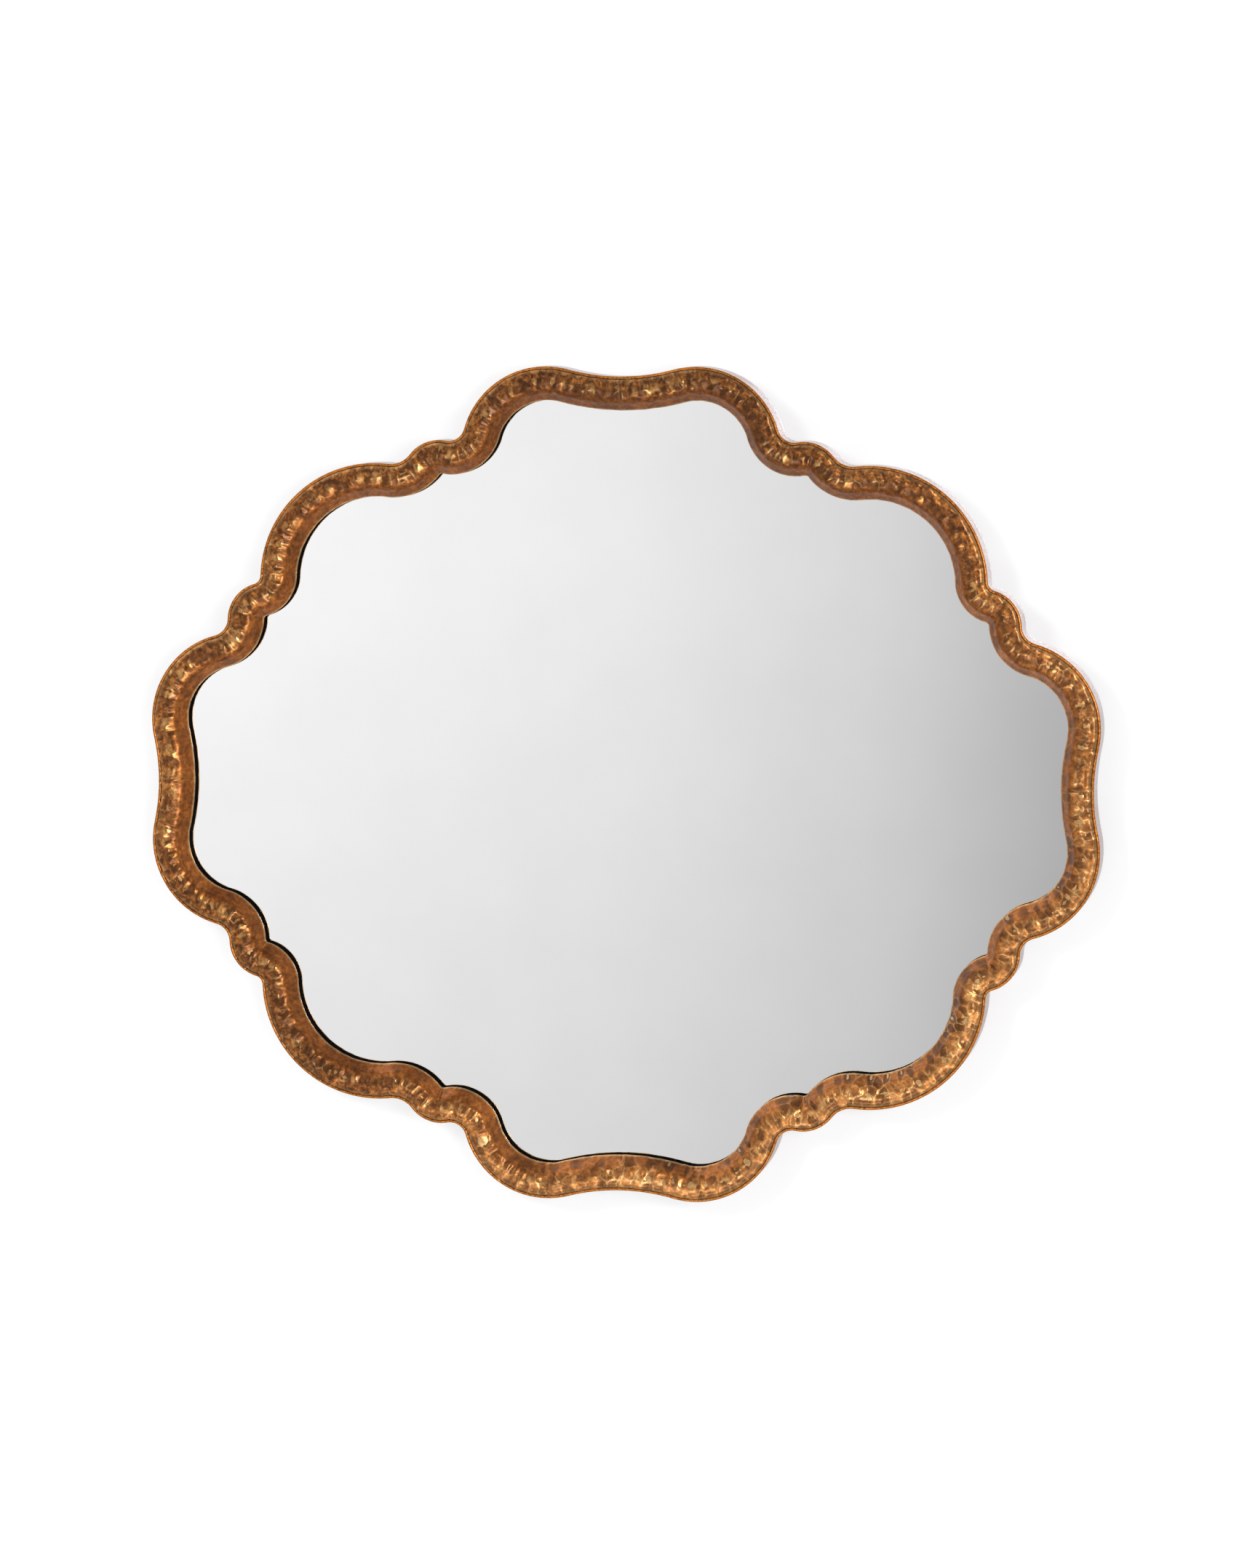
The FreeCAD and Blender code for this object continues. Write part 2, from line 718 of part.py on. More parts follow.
def band_piece(arcs, section):
    """A length of the band: the section turned about each arc's centre, with an end face at each end."""
    faces = []
    for arc in arcs:
        turn = math.degrees(arc.enter - arc.leave)
        axis = Vector(0, math.copysign(1, turn), 0)
        faces += section_wire(arc, arc.enter, section).revolve(arc.centre, axis, abs(turn)).Faces
    faces.append(Part.Face(section_wire(arcs[0], arcs[0].enter, section)))
    faces.append(Part.Face(section_wire(arcs[-1], arcs[-1].leave, section)))
    skin = Part.makeCompound(faces)
    skin.sewShape()
    solid = Part.makeSolid(skin.Shells[0])
    if solid.Volume < 0:
        solid.reverse()
    return solid


def in_corner(shape, corner):
    """A shape of the top right quarter, mirrored to another corner."""
    for sign, normal in zip(CORNERS[corner], (Vector(1, 0, 0), Vector(0, 0, 1))):
        if sign < 0:
            shape = shape.mirror(Vector(0, 0, 0), normal)
    return shape


def feature_named(label, shape):
    """A sub-part whose shape comes from the functions here."""
    feature = doc.addObject("Part::Feature", label)
    feature.Label = label
    feature.Shape = shape
    feature.Placement = Placement()
    return feature


# Cladding and front layer of the core, one of each for every quarter

def make_band(name, section):
    """Four mirrored lengths of the band with the same section."""
    quarter = band_piece(QUARTER, section)
    return [feature_named("%s_%s" % (name, corner), in_corner(quarter, corner)) for corner in CORNERS]


def make_edge_strips():
    """The outer strips, with a hole in the flange for each nail."""
    quarter = band_piece(QUARTER, strip_section())
    strips = []
    for corner, (side, level) in CORNERS.items():
        holes = [Part.makeCylinder(size("nail_shank_radius"), size("wall_gap") + size("nail_length"),
                                   Vector(point.x, 0, point.z), Vector(0, -1, 0))
                 for point in on_whole_frame(nail_places) if point.x * side > 0 and point.z * level > 0]
        strip = in_corner(quarter, corner).cut(Part.makeCompound(holes))
        strips.append(feature_named("edge_strip_" + corner, strip.Solids[0]))
    return strips


# Small parts that repeat round the frame

def make_shims():
    """Two shims in each quarter, in the middle of its lobes."""
    shims = []
    for side, level in CORNERS.values():
        for arc in (UPPER_HALF[1], LOWER_HALF[-2]):
            middle = (arc.enter + arc.leave) / 2
            half = size("shim_length") / 2 / arc.inset_radius(size("rebate_inset"))
            piece = arc.part(middle + half, middle - half).mirrored(side, level)
            shims.append(band_piece([piece], shim_section()))
    return feature_named("glass_shims", Part.makeCompound(shims))


def make_glazing_points():
    points = []
    for piece in BACK_PIECES.values():
        turn = turned_about_y(piece["turn"])
        for point, outward in piece_stations(piece, size("rebate_inset"), size("point_spacing")):
            corners = point_outline(turn.multVec(point), turn.multVec(outward))
            lifted = [Vector(corner.x, size("point_thickness") - BOARD_BACK, corner.z) for corner in corners]
            face = Part.Face(Part.makePolygon(lifted + lifted[:1]))
            points.append(face.extrude(Vector(0, -size("point_thickness"), 0)))
    return feature_named("glazing_points", Part.makeCompound(points))


def make_nails():
    forwards = Vector(0, -1, 0)
    nails = []
    for point in on_whole_frame(nail_places):
        seat = Vector(point.x, size("strip_thickness") - size("wall_gap"), point.z)
        top = seat - forwards * size("nail_head_thickness")
        head = Part.makeCylinder(size("nail_head_radius"), size("nail_head_thickness"), top, forwards)
        shank = Part.makeCylinder(size("nail_shank_radius"), size("nail_length"), seat, forwards)
        nails.append(head.fuse(shank).removeSplitter().Solids[0])
    return feature_named("strip_nails", Part.makeCompound(nails))


def make_bumper(corner):
    """A round rubber foot stuck to the back, beside the shoulder's joint."""
    side, level = CORNERS[corner]
    arc = LOWER_HALF[0]
    centre = arc.point(arc.at_share(size("bumper_arc_share")), size("bumper_inset"))
    body = body_named("wall_bumper_" + corner)
    sketch = sketch_on(body, "XZ_Plane", "outline")
    number = draw_circle(sketch, Vector(0, 0, 0), size("bumper_radius"), "Dims.bumper_radius")
    hold(sketch, "Coincident", number, 3, -1, 1)
    foot = pad(body, sketch, "Dims.wall_gap")
    doc.recompute()
    on_wall = ["Edge%d" % index for index, edge in enumerate(foot.Shape.Edges, start=1)
               if edge.BoundBox.YMin > -size("wall_gap") / 2]
    rounding = body.newObject("PartDesign::Fillet", body.Label + "_rounding")
    rounding.Base = (foot, on_wall)
    rounding.setExpression("Radius", "Dims.bumper_rounding")
    body.Tip = rounding
    body.Placement = Placement(Vector(side * centre.x, 0, level * centre.z), Rotation())
    return body


# Strap hangers. Each is drawn with its strap hanging down and its ring standing up, flat on the back.

def make_strap(name):
    """A strip folded round the ring's bar, with two screw holes."""
    body = body_named("hanger_strap_" + name)
    profile = sketch_on(body, "YZ_Plane", "profile")
    thick = size("strap_thickness")
    length = size("strap_length")
    touch = tangent_from((size("fold_length"), thick), (0, KNUCKLE_RADIUS), -KNUCKLE_RADIUS)
    fold = on_circle((0, KNUCKLE_RADIUS), KNUCKLE_RADIUS, touch)
    centre = Vector(KNUCKLE_RADIUS, 0, 0)
    back = [Vector(fold[1], -fold[0], 0), Vector(thick, -size("fold_length"), 0),
            Vector(thick, -length, 0), Vector(0, -length, 0), Vector(0, 0, 0)]
    lines = [draw_line(profile, a, b) for a, b in zip(back, back[1:])]
    knuckle = Part.Circle(centre, Vector(0, 0, 1), KNUCKLE_RADIUS)
    start = math.atan2(back[0].y, back[0].x - KNUCKLE_RADIUS)
    outer = profile.addGeometry(Part.ArcOfCircle(knuckle, start, math.pi))
    for line, following in zip(lines, lines[1:]):
        hold(profile, "Coincident", line, 2, following, 1)
    hold(profile, "Tangent", outer, 1, lines[0], 1)
    hold(profile, "Tangent", lines[-1], 2, outer, 2)
    hold(profile, "Coincident", lines[-1], 2, -1, 1)
    hold(profile, "Vertical", lines[1])
    hold(profile, "Horizontal", lines[2])
    hold(profile, "Vertical", lines[3])
    hold(profile, "Radius", outer, KNUCKLE_RADIUS, cells=KNUCKLE_RADIUS_CELLS)
    hold(profile, "DistanceX", -1, 1, lines[1], 1, thick, cells="Dims.strap_thickness")
    hold(profile, "DistanceY", lines[1], 1, -1, 1, size("fold_length"), cells="Dims.fold_length")
    hold(profile, "DistanceY", lines[2], 1, -1, 1, length, cells="Dims.strap_length")
    hole = draw_circle(profile, centre, KNUCKLE_HOLE, KNUCKLE_HOLE_CELLS)
    hold(profile, "Coincident", hole, 3, outer, 3)
    plate = pad(body, profile, "Dims.strap_width")
    plate.Midplane = True
    doc.recompute()

    holes = sketch_on(body, "XZ_Plane", "screw_holes")
    for number in range(2):
        down = size("first_screw") + number * size("screw_pitch")
        hole = draw_circle(holes, Vector(0, -down, 0), size("screw_hole_radius"), "Dims.screw_hole_radius")
        hold(holes, "PointOnObject", hole, 3, -2)
        hold(holes, "DistanceY", hole, 3, -1, 1, down,
             cells="Dims.first_screw + %d * Dims.screw_pitch" % number)
    cut = body.newObject("PartDesign::Pocket", body.Label + "_holes")
    cut.Profile = holes
    cut.setExpression("Length", "Dims.strap_thickness")
    body.Tip = cut
    doc.recompute()
    if cut.Shape.Volume >= plate.Shape.Volume:
        raise RuntimeError("the strap's holes cut nothing")

    corners = ["Edge%d" % index for index, edge in enumerate(cut.Shape.Edges, start=1)
               if edge.BoundBox.ZMax < -length + thick / 2 and edge.BoundBox.YLength > thick / 2]
    rounding = body.newObject("PartDesign::Fillet", body.Label + "_corners")
    rounding.Base = (cut, corners)
    rounding.setExpression("Radius", "Dims.strap_corner_radius")
    body.Tip = rounding
    body.Placement = hanger_placement(name)
    return body


def make_ring(name):
    """A wire ring shaped like a D, with its straight bar in the strap's knuckle."""
    body = body_named("hanger_ring_" + name)
    half = size("ring_half_width")
    bend = size("ring_corner_radius")
    arm = size("ring_arm")
    path = sketch_on(body, "XZ_Plane", "path", "-(%s)" % KNUCKLE_RADIUS_CELLS)
    up = Vector(0, 0, 1)
    right_bar = draw_line(path, Vector(0, 0, 0), Vector(half - bend, 0, 0))
    right_bend = path.addGeometry(Part.ArcOfCircle(Part.Circle(Vector(half - bend, bend, 0), up, bend),
                                                   -math.pi / 2, 0))
    right_arm = draw_line(path, Vector(half, bend, 0), Vector(half, arm, 0))
    bow = path.addGeometry(Part.ArcOfCircle(Part.Circle(Vector(0, arm, 0), up, half), 0, math.pi))
    left_arm = draw_line(path, Vector(-half, arm, 0), Vector(-half, bend, 0))
    left_bend = path.addGeometry(Part.ArcOfCircle(Part.Circle(Vector(bend - half, bend, 0), up, bend),
                                                  math.pi, 1.5 * math.pi))
    left_bar = draw_line(path, Vector(bend - half, 0, 0), Vector(0, 0, 0))
    run = [right_bar, right_bend, right_arm, bow, left_arm, left_bend, left_bar]
    for piece, following in zip(run, run[1:]):
        hold(path, "Tangent", piece, 2, following, 1)
    hold(path, "Coincident", right_bar, 1, -1, 1)
    hold(path, "Coincident", left_bar, 2, -1, 1)
    hold(path, "Horizontal", right_bar)
    hold(path, "Horizontal", left_bar)
    hold(path, "Vertical", right_arm)
    hold(path, "Vertical", left_arm)
    hold(path, "PointOnObject", bow, 3, -2)
    hold(path, "Radius", right_bend, bend, cells="Dims.ring_corner_radius")
    hold(path, "Radius", left_bend, bend, cells="Dims.ring_corner_radius")
    hold(path, "Radius", bow, half, cells="Dims.ring_half_width")
    hold(path, "DistanceY", -1, 1, bow, 3, arm, cells="Dims.ring_arm")
    wire = sketch_on(body, "YZ_Plane", "wire")
    number = draw_circle(wire, Vector(KNUCKLE_RADIUS, 0, 0), size("ring_wire_radius"),
                         "Dims.ring_wire_radius")
    hold(wire, "PointOnObject", number, 3, -1)
    hold(wire, "DistanceX", -1, 1, number, 3, KNUCKLE_RADIUS, cells=KNUCKLE_RADIUS_CELLS)
    pipe = body.newObject("PartDesign::AdditivePipe", body.Label + "_pipe")
    pipe.Profile = wire
    pipe.Spine = path
    doc.recompute()
    length = sum(edge.Length for edge in path.Shape.Edges)
    expected = length * math.pi * size("ring_wire_radius") ** 2
    if abs(pipe.Shape.Volume / expected - 1) > 0.01:
        raise RuntimeError("a hanger ring does not have its wire's volume")
    body.Placement = hanger_placement(name)
    return body


def make_hanger_screws(name):
    """Two pan-head screws with a cross in the head. The thread is left plain."""
    body = body_named("hanger_screws_" + name)
    profile = sketch_on(body, "XY_Plane", "profile", "-Dims.first_screw")
    profile.setExpression("AttachmentOffset.Base.y", "Dims.strap_thickness")
    head = size("screw_head_radius")
    shank = size("screw_shank_radius")
    height = size("screw_head_height")
    edge = size("screw_head_edge")
    length = size("screw_length")
    neck = length - size("screw_tip")
    rim = height - edge
    corners = [Vector(0, height, 0), Vector(head - rim, height, 0), Vector(head, edge, 0),
               Vector(head, 0, 0), Vector(shank, 0, 0), Vector(shank, -neck, 0), Vector(0, -length, 0)]
    lines = draw_loop(profile, corners)
    hold(profile, "DistanceY", -1, 1, lines[0], 1, height, cells="Dims.screw_head_height")
    hold(profile, "DistanceX", -1, 1, lines[2], 1, head, cells="Dims.screw_head_radius")
    hold(profile, "DistanceX", -1, 1, lines[1], 1, head - rim,
         cells="Dims.screw_head_radius - Dims.screw_head_height + Dims.screw_head_edge")
    hold(profile, "DistanceY", -1, 1, lines[2], 1, edge, cells="Dims.screw_head_edge")
    hold(profile, "DistanceX", -1, 1, lines[4], 1, shank, cells="Dims.screw_shank_radius")
    hold(profile, "DistanceY", lines[6], 1, -1, 1, length, cells="Dims.screw_length")
    hold(profile, "DistanceY", lines[5], 1, -1, 1, neck, cells="Dims.screw_length - Dims.screw_tip")
    hold(profile, "Vertical", lines[6])
    hold(profile, "Horizontal", lines[0])
    hold(profile, "Vertical", lines[2])
    hold(profile, "Horizontal", lines[3])
    hold(profile, "Vertical", lines[4])
    hold(profile, "PointOnObject", lines[6], 1, -2)
    hold(profile, "PointOnObject", lines[3], 1, -1)
    turned = body.newObject("PartDesign::Revolution", body.Label + "_turned")
    turned.Profile = profile
    turned.ReferenceAxis = (profile, ["V_Axis"])
    turned.Angle = 360
    body.Tip = turned

    cross = sketch_on(body, "XZ_Plane", "cross", "-(Dims.strap_thickness + Dims.screw_head_height)")
    centre = Vector(0, -size("first_screw"), 0)
    long = size("cross_length") / 2
    short = size("cross_width") / 2
    draw_loop(cross, [centre + Vector(*place, 0) for place in
                      ((long, short), (short, short), (short, long), (-short, long), (-short, short),
                       (-long, short), (-long, -short), (-short, -short), (-short, -long), (short, -long),
                       (short, -short), (long, -short))])
    pocket_forwards(body, cross, "Dims.cross_depth")

    pair = body.newObject("PartDesign::LinearPattern", body.Label + "_pair")
    pair.TransformMode = "Whole shape"
    axis = next(item for item in body.Origin.OriginFeatures if item.Role == "Z_Axis")
    pair.Direction = (axis, [""])
    pair.Reversed = True
    pair.setExpression("Length", "Dims.screw_pitch")
    pair.Occurrences = 2
    body.Tip = pair
    body.Placement = hanger_placement(name)
    return body


def build():
    """Every sub-part, in the order in which the mirror goes together."""
    parts = make_band("front_core", front_core_section())
    parts += [make_back_core(name) for name in BACK_PIECES]
    parts += make_band("face_sheet", face_section()) + make_edge_strips()
    parts += [make_glass(), make_shims(), make_foam(), make_board(), make_glazing_points(), make_nails()]
    for name in HANGERS:
        parts += [make_strap(name), make_ring(name), make_hanger_screws(name)]
    parts += [make_bumper(corner) for corner in CORNERS]
    return parts


def check_and_write(parts):
    """Stop on any failed object or bad shape, then write one file for each sub-part."""
    doc.recompute()
    for item in doc.Objects:
        if "Invalid" in item.State or "Error" in item.State:
            raise RuntimeError("%s failed: %s" % (item.Label, item.State))
    for item in parts:
        if item.Shape.isNull() or not item.Shape.isValid() or not item.Shape.Solids:
            raise RuntimeError(item.Label + " has no good shape")
    os.makedirs("parts", exist_ok=True)
    for item in parts:
        item.Shape.exportStep(os.path.join("parts", item.Label + ".step"))
        print("%-28s %2d solids %12.1f mm3" % (item.Label, len(item.Shape.Solids), item.Shape.Volume))


check_and_write(build())
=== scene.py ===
"""Scalloped wall mirror in a hammered copper frame: its beaten cladding, finishes, studio and camera.

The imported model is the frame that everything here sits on. Lengths are written in millimetres and
turned into Blender's metres where they meet it. X runs to the right, Y to the wall and Z up.
Heights are measured from the wall towards the viewer, insets from the outermost edge inwards.
"""
import bisect
import math
import random
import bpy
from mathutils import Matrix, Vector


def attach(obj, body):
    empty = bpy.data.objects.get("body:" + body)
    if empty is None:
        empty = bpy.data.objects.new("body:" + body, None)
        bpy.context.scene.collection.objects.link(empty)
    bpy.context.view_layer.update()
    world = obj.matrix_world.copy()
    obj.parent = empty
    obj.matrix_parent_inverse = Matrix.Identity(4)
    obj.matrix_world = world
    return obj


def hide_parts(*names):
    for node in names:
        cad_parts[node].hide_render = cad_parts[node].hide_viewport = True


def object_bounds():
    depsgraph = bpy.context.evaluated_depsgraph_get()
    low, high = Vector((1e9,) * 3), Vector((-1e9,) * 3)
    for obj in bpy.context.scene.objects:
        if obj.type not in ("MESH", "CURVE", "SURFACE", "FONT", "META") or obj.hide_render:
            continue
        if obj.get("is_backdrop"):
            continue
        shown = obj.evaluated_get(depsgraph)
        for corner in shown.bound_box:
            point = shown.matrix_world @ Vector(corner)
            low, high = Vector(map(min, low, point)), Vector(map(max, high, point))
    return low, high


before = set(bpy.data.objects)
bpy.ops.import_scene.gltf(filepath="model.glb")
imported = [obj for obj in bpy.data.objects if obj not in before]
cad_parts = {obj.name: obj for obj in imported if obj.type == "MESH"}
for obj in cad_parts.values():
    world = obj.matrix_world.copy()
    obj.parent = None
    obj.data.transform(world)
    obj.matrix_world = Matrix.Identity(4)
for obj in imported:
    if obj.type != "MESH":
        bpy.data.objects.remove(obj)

from types import SimpleNamespace

import bmesh
import bpy
from bpy.props import FloatProperty, FloatVectorProperty, PointerProperty
from bpy.types import Operator, Panel, PropertyGroup
from mathutils import Vector, noise

bl_info = {
    "name": "Hammered copper mirror",
    "version": (1, 0, 0),
    "blender": (4, 5, 0),
    "location": "View3D > Sidebar > Mirror",
    "description": "Dresses the packed mirror with beaten copper, glass, paint and hardware finishes",
    "category": "Object",
}

MM = 0.001
CORNERS = {"top_right": (1, 1), "bottom_right": (1, -1), "bottom_left": (-1, -1), "top_left": (-1, 1)}
SIDES = ("top", "right", "bottom", "left")
HANGERS = ("right", "left", "upper", "lower")

# The outline's driving sizes, the same as in the solids

HALF_WIDTH = 787.4 / 2
HALF_HEIGHT = 685.8 / 2
# Radii of the lobes at the ends of a quarter and of the shoulder between them
TOP_LOBE = 70.7
SHOULDER = 96.9
SIDE_LOBE = 72.3
# Depths of the shallow dips between two lobes, and radii of the valleys between lobes, bumps and shoulder
TOP_DIP = 8.1
SIDE_DIP = 5.4
LOBE_VALLEY = 13.5
UPPER_VALLEY = 20.2
LOWER_VALLEY = 7.4
SIDE_VALLEY = 15.0
# Width of the band, and radius of a bump, which leaves a small radius at the band's inner edge
BAND = 28.0
BUMP = BAND + 3.0
# Where the arcs' centres lie across and up, as shares of the half width and the half height
TOP_LOBE_ACROSS = 0.157
UPPER_BUMP_PLACE = (0.383, 0.733)
SHOULDER_PLACE = (0.519, 0.485)
SIDE_BUMP_PLACE = (0.757, 0.388)
SIDE_LOBE_UP = 0.146
# Height of the outermost edge at the top middle, where a section is drawn
DRAWN_AT = HALF_HEIGHT - TOP_DIP
# Radius below which a hollow arc gathers the sheet
TIGHT = 30.0

# The band's section, the same as in the solids

# Heights of the strip's back, the ledge beside the bead, the crown, the lip and the hem's edge
STRIP_BACK = 5.3
LEDGE = 36.8
CROWN = 40.7
LIP = 26.0
HEM_EDGE = 24.8
# Insets of the flange's end, of the ledge's end and of the crown
FLANGE = 5.5
GROOVE_INSET = 3.0
CROWN_INSET = 9.5
# Thickness of strip and sheet
STRIP_THICK = 0.7
SHEET = 0.7
# Radii of the crown's inner side, the lip and the bead, and how far the bead's middle is over the ledge
INNER_CROWN = 16.0
LIP_ROUNDING = 0.6
BEAD = 1.2
BEAD_RISE = 1.0
# Inset at which lengths along the band are measured
RIM = 6.0

# The mesh: spacing of the strip's turns, largest turn in one step round an arc, cuts between two turns,
# length along the band above which an edge joins two turns, and length of the strip section's last edge
STRIP_GRID = 1.1
TURN_STEP = math.radians(5)
CUTS = 3
SAME_TURN = 1e-3
LAST_EDGE = 1.0
# What each vertex notes: its place along and across the band, and how the copper is finished there;
# the hollow note also carries painted shade, and the worn and burnished notes carry painted light
NOTES = ("along", "across", "worn", "hollow", "rubbed", "burnished")

# The beating, quarter by quarter

# Further crosswise ribs: where they start along a quarter, over what length, how far apart and how strong
RIBS = {"top_right": (10.0, 62.0, 9.8, 0.9), "bottom_right": (0.0, 40.0, 8.0, 0.3),
        "bottom_left": (0.0, 60.0, 8.5, 0.4), "top_left": (4.0, 70.0, 9.0, 0.45)}
# How far the patina was rubbed back: at the quarter's top or bottom end, halfway and at its side end
RUBBED = {"top_right": (0.0, 0.05, 0.4), "bottom_right": (0.65, 0.75, 0.65),
          "bottom_left": (0.6, 0.0, 0.15), "top_left": (0.0, 0.1, 0.15)}
# How much of the crown is burnished and painted paler as a highlight, at the same three places
BURNISHED_HIGHLIGHT = {"top_right": (1.0, 0.1, 0.3), "bottom_right": (0.7, 0.45, 0.4),
             "bottom_left": (0.7, 0.3, 0.7), "top_left": (0.35, 0.7, 0.75)}
# How widely the hammer's marks are spaced, as a share of their width
SPACED = {"top_right": 1.25, "bottom_right": 1.1, "bottom_left": 1.3, "top_left": 1.6}
# How strongly the bead is scalloped by the creases beside it
SCALLOPED = {"top_right": 0.25, "bottom_right": 0.7, "bottom_left": 1.0, "top_left": 0.2}

# The hammer's marks: inset past which they are round, how much closer they crowd in a tight hollow, how far
# they wander from their rows and over what length
ROUND_MARKS = 12.0
CROWDING = 1.5
WANDER = 2.2
WANDER_LENGTH = 7.0
# Range of a blow's place in its step, share of weak blows, and how hard the weak and strong ones strike
SCATTER = (0.12, 0.88)
WEAK_SHARE = 0.4
WEAK_BLOW = (0.1, 0.35)
STRONG_BLOW = (0.7, 1.0)
# In steps between marks: radius of a hollow, half width of the ridge between two, and the distances from a
# middle between which a ridge comes in
HOLLOW_REACH = 0.72
RIDGE_HALF = 0.16
RIDGE_START = (0.2, 0.45)

# The sheet's relief. Stripes along the band are given by their middle's inset and their width, and fades by
# the insets where they start and end

# Deepest that the sheet may sink before the core would show, and the room kept under the crown's height
DEEPEST = 0.64
HEADROOM = 0.45
# The crown's inner side was beaten nearly flat: how far the sheet stands out of a true arc, and the stripe
FLATTENED = ((-0.25, 13.5, 3.0), (0.65, 19.5, 3.2))
# How far the sheet waves between the marks, and how long the waves are along and across the band
UNEVEN = 1.6
WAVES = (6.5, 13.0)
# The relief comes in beside the groove, and marks and waves grow weaker on the inner slope
RELIEF_START = (GROOVE_INSET, GROOVE_INSET + 1.5)
MARKS_FADE = (15.0, 22.0)
WAVES_FADE = (16.0, 23.0)
# How far the sheet bulges towards the bead, so that only a fine groove is left between them, where the
# bulge comes in and fades, and by what share a crease presses it in
OUTER_BULGE = 1.6
BULGE_START = (2 * BEAD, GROOVE_INSET + 0.3)
BULGE_FADE = (4.0, 8.5)
CREASE_PRESS = 0.45
CREASE_INSET = GROOVE_INSET + 1
# Width, height and stripe of the pleats where the sheet is gathered, how far they bend aside in radians of
# a turn, and over what lengths
PLEAT = 4.8
PLEAT_RISE = 0.55
PLEAT_STRIPE = (13.5, 5.0)
PLEAT_BEND = 1.8
PLEAT_BEND_SIZE = (6.0, 9.0)
# The sheet's raised edge at a seam: height, distance from the quarter's end, width and how far it strays
SEAM_RISE = 0.1
SEAM_INSET = 1.2
SEAM_WIDTH = 0.9
SEAM_STRAY = 1.4
SEAM_STRAY_LENGTH = 6.0
# How far the rest of the sheet lies under the plain section
SETTLED = 0.1

# The wear and the painted light: sizes of the patches that were rubbed more or less, of the burnished
# patches and of the flecks that break their edges, the burnished stripe on the crown, painted paler as a
# highlight, and the stripe of painted shade inside it
LARGE_PATCH = (34.0, 34.0)
SMALL_PATCH = (8.0, 8.0)
BURNISHED_PATCH = (6.5, 11.0)
BURNISHED_FLECK = (2.5, 4.0)
BURNISH_HIGHLIGHT_STRIPE = (12.0, 4.5)
PAINTED_SHADE_STRIPE = (14.5, 4.5)
# Where the rim beside the bead, painted lighter over the groove's shade, fades, and where the rubbed lip
# comes in
RIM_PAINTED_LIGHT_FADE = (3.4, 7.0)
LIP_START = (BAND - 1.3, BAND - 0.5)

# The bead: half the height over which its burnish and scallops come in, how far its face is uneven and over
# what length
BEAD_FADE = 0.6
BEAD_UNEVEN = 0.12
BEAD_UNEVEN_LENGTH = 16.0

# The stage, in metres: how far it reaches sideways and to the front, the floor's level, the top of the
# wall, and the gap that keeps the wall's face off the bumpers
STAGE_REACH = 3.0
FLOOR_LEVEL = -0.9
WALL_TOP = 2.4
WALL_GAP = 0.0005


def linear(code):
    """A colour written as sRGB hex, as the linear values that Blender mixes."""
    channels = [int(code[at:at + 2], 16) / 255 for at in (1, 3, 5)]
    return tuple(c / 12.92 if c <= 0.04045 else ((c + 0.055) / 1.055) ** 2.4 for c in channels)


# The outline, walked clockwise from the top middle to the right middle

class Arc:
    """One arc of the outline: its centre across and up, and the angles where the walk enters and leaves."""

    def __init__(self, across, up, radius, bulges):
        self.centre = Vector((across, up))
        self.radius = radius
        self.bulges = bulges
        self.enter = self.leave = None

    def radius_at(self, inset):
        return self.radius - inset if self.bulges else self.radius + inset

    def length(self, inset):
        return abs(self.leave - self.enter) * self.radius_at(inset)

    def gathers(self):
        return not self.bulges and self.radius < TIGHT

    def walked(self, x, z):
        """Angle walked from the arc's start to a point, which may lie a little before it."""
        angle = math.atan2(z - self.centre.y, x - self.centre.x)
        turned = self.enter - angle if self.bulges else angle - self.enter
        return (turned + 0.5) % (2 * math.pi) - 0.5


def valley(before, after, radius):
    """The hollow arc that touches two bulging arcs from outside."""
    reach = before.radius + radius
    other = after.radius + radius
    apart = after.centre - before.centre
    gap = apart.length
    along = (reach ** 2 - other ** 2 + gap ** 2) / (2 * gap)
    aside = math.sqrt(reach ** 2 - along ** 2)
    centre = before.centre + apart * (along / gap) + Vector((-apart.y, apart.x)) * (aside / gap)
    return Arc(*centre, radius, False)


def dip_radius(offset, lobe_radius, depth):
    """Radius of the shallow hollow that sinks by depth between two lobes."""
    low = lobe_radius - depth
    return (offset ** 2 + low ** 2 - lobe_radius ** 2) / (2 * depth)


def placed(place, radius):
    """A bulging arc whose centre is given in shares of the half width and the half height."""
    return Arc(HALF_WIDTH * place[0], HALF_HEIGHT * place[1], radius, True)


